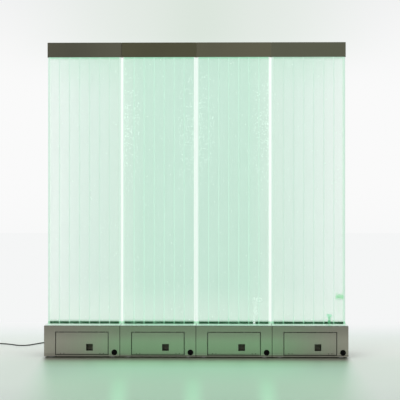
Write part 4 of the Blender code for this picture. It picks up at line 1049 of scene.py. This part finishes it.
def addBubbles(name, spots, finish, ball=largeBall):
    verts, faces = [], []
    for x, y, z, radius, tall in spots:
        start = len(verts)
        verts += [(x + radius * a, y + radius * b, z + radius * tall * c) for a, b, c in ball[0]]
        faces += [tuple(start + index for index in face) for face in ball[1]]
    mesh = bpy.data.meshes.new(name)
    mesh.from_pydata(verts, [], faces)
    mesh.materials.append(finish)
    mesh.shade_smooth()
    piece = linked(name, mesh)
    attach(piece, "wall")
    return piece


def addChannelBubbles(finish):
    s, t = bubbleLook, tankLook
    chance = random.Random(s["seed"])
    for n in modules:
        _, high, pitch, middles = tankPlan(n)
        half = (pitch - t["divider"]) / 2
        pane = high.y - t["sheet"] - s["gap"]
        spots = []
        for middle in middles:
            for side in (-1, 1):
                for _ in range(s["perChannel"]):
                    radius = sized(chance, *s["size"])
                    reach = half - radius - s["clear"]
                    x = middle + chance.uniform(-reach, reach)
                    z = chance.uniform(t["waterLow"] + s["foot"], t["waterTop"] - s["top"])
                    spots.append((x, side * (pane - radius), z, radius, chance.uniform(*s["tall"])))
        addBubbles(f"channelBubbles_{n}", spots, finish)


crowdLook = {
    "seed": 34, "modules": (2, 3), "count": 300, "start": 0.003, "reach": 0.10, "crowding": 1.6,
    "low": 1.05, "high": 1.95, "size": (0.0012, 0.0022),
}


def addCrowds(finish):  # the bubbles that gather beside the inner seams
    s, t = crowdLook, tankLook
    chance = random.Random(s["seed"])
    for n in s["modules"]:
        low, high, pitch, _ = tankPlan(n)
        pane = high.y - t["sheet"] - bubbleLook["gap"]
        spots = []
        for edge, way in ((low.x + t["endWall"], 1), (high.x - t["endWall"], -1)):
            for side in (-1, 1):
                for _ in range(s["count"]):
                    radius = sized(chance, *s["size"])
                    away = s["start"] + s["reach"] * chance.random() ** s["crowding"]
                    z = s["low"] + (s["high"] - s["low"]) * (chance.random() + chance.random()) / 2
                    if radius < away % pitch < pitch - t["divider"] - radius:  # clear of the divider
                        spots.append((edge + way * away, side * (pane - radius), z, radius, 1.0))
        addBubbles(f"crowdBubbles_{n}", spots, finish, smallBall)


def between(route, t):  # a place along a list of (x, z), from its start (0) to its end (1)
    step = min(int(t * (len(route) - 1)), len(route) - 2)
    share = t * (len(route) - 1) - step
    return [a + (b - a) * share for a, b in zip(route[step], route[step + 1])]


jetLook = {
    "seed": 5, "front": -0.0292, "loose": 0.002,
    "route": [
        (0.3858, 0.224), (0.3868, 0.256), (0.3972, 0.278), (0.3968, 0.300), (0.3945, 0.332), (0.3885, 0.390),
    ],
    "count": 420, "size": (0.0009, 0.0026, 2), "crowding": 0.75, "spread": 0.0060, "narrow": 0.45,
    "curl": (0.4195, 0.3690), "curlWide": 0.0190, "curlTall": 0.0122, "curlCount": 130,
    "curlLoose": 0.0023, "curlSize": (0.0010, 0.0024),
    "root": (0.2090, 0.2330), "rootWide": 0.0040, "rootCount": 60, "rootSize": (0.0010, 0.0023),
}


def addWhiteJet(finish):  # the strong jet in the third tank
    s = jetLook
    chance = random.Random(s["seed"])
    spots = []
    for _ in range(s["count"]):
        t = chance.random() ** s["crowding"]
        x, z = between(s["route"], t)
        spread = s["spread"] * (s["narrow"] + (1 - s["narrow"]) * min(t * 3, 1))
        radius = sized(chance, *s["size"])
        x += chance.gauss(0, spread)
        spots.append((x, s["front"] + radius + s["loose"] * chance.random(), z, radius, 1.0))
    for _ in range(s["curlCount"]):  # the curl at its head
        t = chance.uniform(0, 2 * math.pi)
        radius = sized(chance, *s["curlSize"])
        x = s["curl"][0] + s["curlWide"] * math.cos(t) + chance.gauss(0, s["curlLoose"])
        z = s["curl"][1] + s["curlTall"] * math.sin(t) + chance.gauss(0, s["curlLoose"])
        spots.append((x, s["front"] + radius, z, radius, 1.0))
    for _ in range(s["rootCount"]):  # its root, in front of the air bar
        radius = sized(chance, *s["rootSize"])
        x = s["route"][0][0] + chance.gauss(0, s["rootWide"])
        spots.append((x, s["front"] + radius, chance.uniform(*s["root"]), radius, 1.0))
    addBubbles("whiteJet", spots, finish)


plumeLook = {
    "seed": 8, "front": -0.0292, "x": 0.8875, "root": (0.2070, 0.2310), "stem": (0.2300, 0.2600),
    "stemWide": 0.0038, "stemCount": 110, "stemSize": (0.0010, 0.0024), "stemTall": 1.2,
    "head": 0.2640, "headWide": 0.0085, "headTall": 0.0052, "headCount": 190, "headSize": (0.0012, 0.0028),
    "cloud": (0.9565, 0.3905), "cloudWide": 0.0260, "cloudTall": 0.0086, "cloudCount": 560,
    "cloudSize": (0.0011, 0.0024), "cloudFlat": 0.9,
    # what still rises to the cloud
    "rising": (0.28, 0.372), "risingX": 0.950, "risingWide": 0.009, "risingCount": 50,
    "risingSize": (0.0008, 0.0017),
}


def addGreenPlume(rootFinish, stemFinish, headFinish, cloudFinish):  # the slow plume and the caught cloud
    s = plumeLook
    chance = random.Random(s["seed"])
    front = s["front"]
    root, stem, head, cloud = [], [], [], []
    for spots, span in ((root, s["root"]), (stem, s["stem"])):
        for _ in range(s["stemCount"]):
            radius = sized(chance, *s["stemSize"])
            x = s["x"] + chance.gauss(0, s["stemWide"])
            spots.append((x, front + radius, chance.uniform(*span), radius, s["stemTall"]))
    for _ in range(s["headCount"]):
        radius = sized(chance, *s["headSize"])
        x = s["x"] + chance.gauss(0, s["headWide"])
        head.append((x, front + radius, s["head"] + chance.gauss(0, s["headTall"]), radius, 1.0))
    for _ in range(s["cloudCount"]):
        radius = sized(chance, *s["cloudSize"])
        x = s["cloud"][0] + s["cloudWide"] * chance.uniform(-1, 1)
        z = s["cloud"][1] + chance.gauss(0, s["cloudTall"])
        cloud.append((x, front + radius, z, radius, s["cloudFlat"]))
    for _ in range(s["risingCount"]):
        radius = sized(chance, *s["risingSize"])
        x = s["risingX"] + chance.gauss(0, s["risingWide"])
        cloud.append((x, front + radius, chance.uniform(*s["rising"]), radius, 1.0))
    addBubbles("plumeRoot", root, rootFinish, smallBall)
    addBubbles("plumeStem", stem, stemFinish, smallBall)
    addBubbles("plumeHead", head, headFinish, smallBall)
    addBubbles("bubbleCloud", cloud, cloudFinish, smallBall)


footLook = {
    "seed": 21, "perChannel": 16, "low": 0.2090, "high": 0.2290, "size": (0.0007, 0.0018), "gap": 0.0008,
    "bunchEnd": 0.004, "bunchWide": 0.012, "end": 0.014,
}


def addFootBubbles(finish):  # what rises off the air bars, unevenly
    s, t = footLook, tankLook
    chance = random.Random(s["seed"])
    for n in modules:
        low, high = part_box(f"tank_{n}")
        reach = (high.x - low.x) / 2 - t["endWall"] - s["bunchEnd"]
        spots = []
        for _ in range(t["channels"]):
            bunch = (low.x + high.x) / 2 + chance.uniform(-reach, reach)
            for _ in range(s["perChannel"]):
                radius = sized(chance, *s["size"])
                x = bunch + chance.gauss(0, s["bunchWide"])
                x = max(low.x + s["end"], min(high.x - s["end"], x))
                z = s["low"] + (s["high"] - s["low"]) * chance.random()
                spots.append((x, t["sheet"] - high.y + s["gap"] + radius, z, radius, 1.0))
        addBubbles(f"footBubbles_{n}", spots, finish, smallBall)


skinLook = {  # the bubbles' colour, painted glow and base
    "bubbleSkin": ((232, 250, 240), 0.45, 0.45), "crowdSkin": ((238, 253, 245), 0.62, 0.58),
    "jetSkin": ((234, 250, 241), 0.5, 0.5), "rootSkin": ((88, 168, 118), 0.5, 0.5),
    "stemSkin": ((156, 218, 178), 0.5, 0.5), "headSkin": ((184, 236, 206), 0.5, 0.5),
    "cloudSkin": ((174, 230, 188), 0.5, 0.5), "footSkin": ((120, 186, 146), 0.45, 0.5),
}
skins = {name: bubbleSkin(name, *look) for name, look in skinLook.items()}
addChannelBubbles(skins["bubbleSkin"])
addCrowds(skins["crowdSkin"])
addWhiteJet(skins["jetSkin"])
addGreenPlume(skins["rootSkin"], skins["stemSkin"], skins["headSkin"], skins["cloudSkin"])
addFootBubbles(skins["footSkin"])
print("bubbles made")


# floor, backdrop and light

floorLook = {
    "size": 60.0, "drop": 0.0003, "roughness": 0.36, "cloud": 0.03,
    # the floor's colour, with painted shade that deepens from where it meets the backdrop (1) towards the
    # viewer's side (0)
    "near": -2.2, "far": 2.1,
    "along": [
        (0.00, (187, 199, 190)), (0.20, (201, 213, 203)), (0.42, (207, 219, 208)), (0.55, (219, 226, 218)),
        (0.68, (227, 235, 228)), (0.82, (235, 242, 239)), (1.00, (239, 243, 243)),
    ],
    # a painted pool of green light next to the wall, with painted shadow at the casing, from the casing (0)
    # outwards to two metres (1)
    "casing": 0.18,
    "beside": [
        (0.00, (89, 99, 79)), (0.04, (120, 131, 114)), (0.08, (147, 185, 151)), (0.14, (166, 214, 178)),
        (0.25, (176, 222, 192)), (0.60, (170, 204, 178)), (1.00, (157, 188, 164)),
    ],
    # how it leans and narrows going away, and its rim's outer and inner side with what each grows by
    "lean": 0.02, "narrow": 0.125, "rimOut": (0.02, 0.12), "rimIn": (-0.02, -0.06),
    # where the painted light fades behind the wall and in front, and the less green tint of its two ends
    "behind": (1.6, 0.2), "reach": (3.4, 1.75),
    "ends": (0.965, 0.850, 0.925), "endsAcross": (0.45, 0.85), "endsAway": (1.25, 0.25),
    # the painted paler streaks of light under the seams, which lean and draw together going away
    "streak": (171, 222, 186), "streakWidth": 0.096, "streakGap": 0.474, "streakLean": 0.022,
    "streakShift": 0.019, "streakClose": 0.05, "streakEnds": (1.45, 1.35), "streakAway": (0.55, 1.25),
    # the floor under the casing painted lighter, lifting the shadow in the gap below it
    "under": 1.3, "underDepth": (0.184, 0.178), "underEnds": (1.01, 0.99),
    "backdrop": (245, 246, 246), "fadeBack": (1.0, 2.2), "fadeRound": (6.0, 16.0),
}


def addFloor():
    s = floorLook
    bm = bmesh.new()
    bmesh.ops.create_grid(bm, x_segments=1, y_segments=1, size=s["size"] / 2)
    bmesh.ops.translate(bm, vec=(0, 0, -s["drop"]), verts=bm.verts)
    f = newFinish("studioFloor")
    place = f.place()
    x, y, _ = f.axes(place)
    along = f.ramp(s["along"], (y - s["near"]) / (s["far"] - s["near"]))
    away = (abs(y) - s["casing"]).most(0.0)
    # painted shadow at the casing and a painted pool of green light next to the wall
    beside = f.ramp(s["beside"], away * 0.5)
    over = abs(x - s["lean"] * away) - 1.0 + s["narrow"] * away
    rims = [rim + growth * away for rim, growth in (s["rimOut"], s["rimIn"])]
    lit = over.ease(*rims) * y.ease(*s["behind"]) * away.ease(*s["reach"])
    ends = abs(x).ease(*s["endsAcross"]) * away.ease(*s["endsAway"])
    beside = f.blend(ends, beside, f.node("VectorMath", {"operation": "MULTIPLY"}, {0: beside, 1: s["ends"]}))
    # painted streaks of light under the seams
    under = x - s["streakLean"] * away + s["streakShift"]
    under = under / (s["streakGap"] - s["streakClose"] * away)  # at -1, 0 and 1 under the seams
    streak = abs((under + 0.5).fract() - 0.5).ease(s["streakWidth"] / s["streakGap"], 0.0)
    streak = streak * abs(under).ease(*s["streakEnds"]) * away.ease(*s["streakAway"])
    beside = f.blend(streak, beside, shade(*s["streak"]))
    # painted light on the floor under the casing
    beneath = abs(y).ease(*s["underDepth"]) * abs(x).ease(*s["underEnds"])
    colour = f.scaled(f.blend(lit, along, beside), 1.0 + s["under"] * beneath)
    tone = 1.0 - s["cloud"] / 2 + s["cloud"] * f.noise(place, 1.4)
    ground = f.principled(Base_Color=f.scaled(colour, tone), Roughness=s["roughness"])
    far = y.ease(*s["fadeBack"]).most((x * x + y * y).ease(*s["fadeRound"]))
    sky = f.node("Emission", None, {"Color": shade(*s["backdrop"]), "Strength": 1.0})
    finish = f.surface(f.node("MixShader", None, {"Fac": far, 1: ground, 2: sky}))
    mesh = bpy.data.meshes.new("studioFloor")
    bm.to_mesh(mesh)
    bm.free()
    mesh.materials.append(finish)
    floor = linked("studioFloor", mesh)


worldLook = {
    "level": 0.80, "backdrop": (250, 250, 250), "low": (245, 246, 246), "upper": (239, 240, 240),
    "lowRise": (-0.09, 0.02), "upperRise": (0.08, 0.20),
    # painted shade: the darker stretch high up behind the wall
    "top": (220, 230, 221), "topRise": (0.095, 0.135),
    "topWide": (0.75, 0.17, 0.03), "topCore": (0.25, 0.05, 0.0),
}


def addWorld():
    s = worldLook
    world = bpy.data.worlds.new("studioLight")
    bpy.context.scene.world = world
    f = Finish(world)
    x, y, z = f.axes(f.node("TexCoord", out="Generated"))
    sky = f.blend(z.ease(*s["lowRise"]), shade(*s["low"]), shade(*s["backdrop"]))
    sky = f.blend(z.ease(*s["upperRise"]), sky, shade(*s["upper"]))
    across = abs(x + view["turn"])
    shadowed = z.ease(*s["topRise"]) * (across.part(*s["topWide"]) + across.part(*s["topCore"]))
    sky = f.blend(shadowed * y.above(0.0), sky, shade(*s["top"]))
    camera, glossy, through = [
        f.node("LightPath", out=f"Is {ray} Ray") for ray in ("Camera", "Glossy", "Transmission")
    ]
    plain = f.node("Background", None, {"Color": (1.0, 1.0, 1.0, 1.0), "Strength": s["level"]})
    shown = f.node("Background", None, {"Color": sky, "Strength": 1.0})
    f.surface(f.node("MixShader", None, {"Fac": camera.most(glossy).most(through), 1: plain, 2: shown}))


lampLook = {
    "key": {"place": (-3.2, -5.0, 4.4), "aim": (0.0, 0.0, 0.9), "size": 3.5, "power": 90.0},
    "fill": {"place": (4.2, -3.0, 3.2), "aim": (0.0, 0.0, 0.8), "size": 3.0, "power": 31.0},
    "back": {"place": (0.0, 4.5, 4.5), "aim": (0.0, 0.0, 1.0), "size": 3.5, "power": 45.0},
}


def addLamps():
    for name, s in lampLook.items():
        data = bpy.data.lights.new(name + "Lamp", "AREA")
        data.size = s["size"]
        data.energy = s["power"]
        lamp = linked(name + "Lamp", data)
        lamp.location = s["place"]
        lamp.rotation_euler = (Vector(s["aim"]) - Vector(s["place"])).to_track_quat("-Z", "Y").to_euler()


addFloor()
addWorld()
addLamps()
bpy.context.scene.view_settings.view_transform = "Standard"
print("floor, backdrop and lamps made")
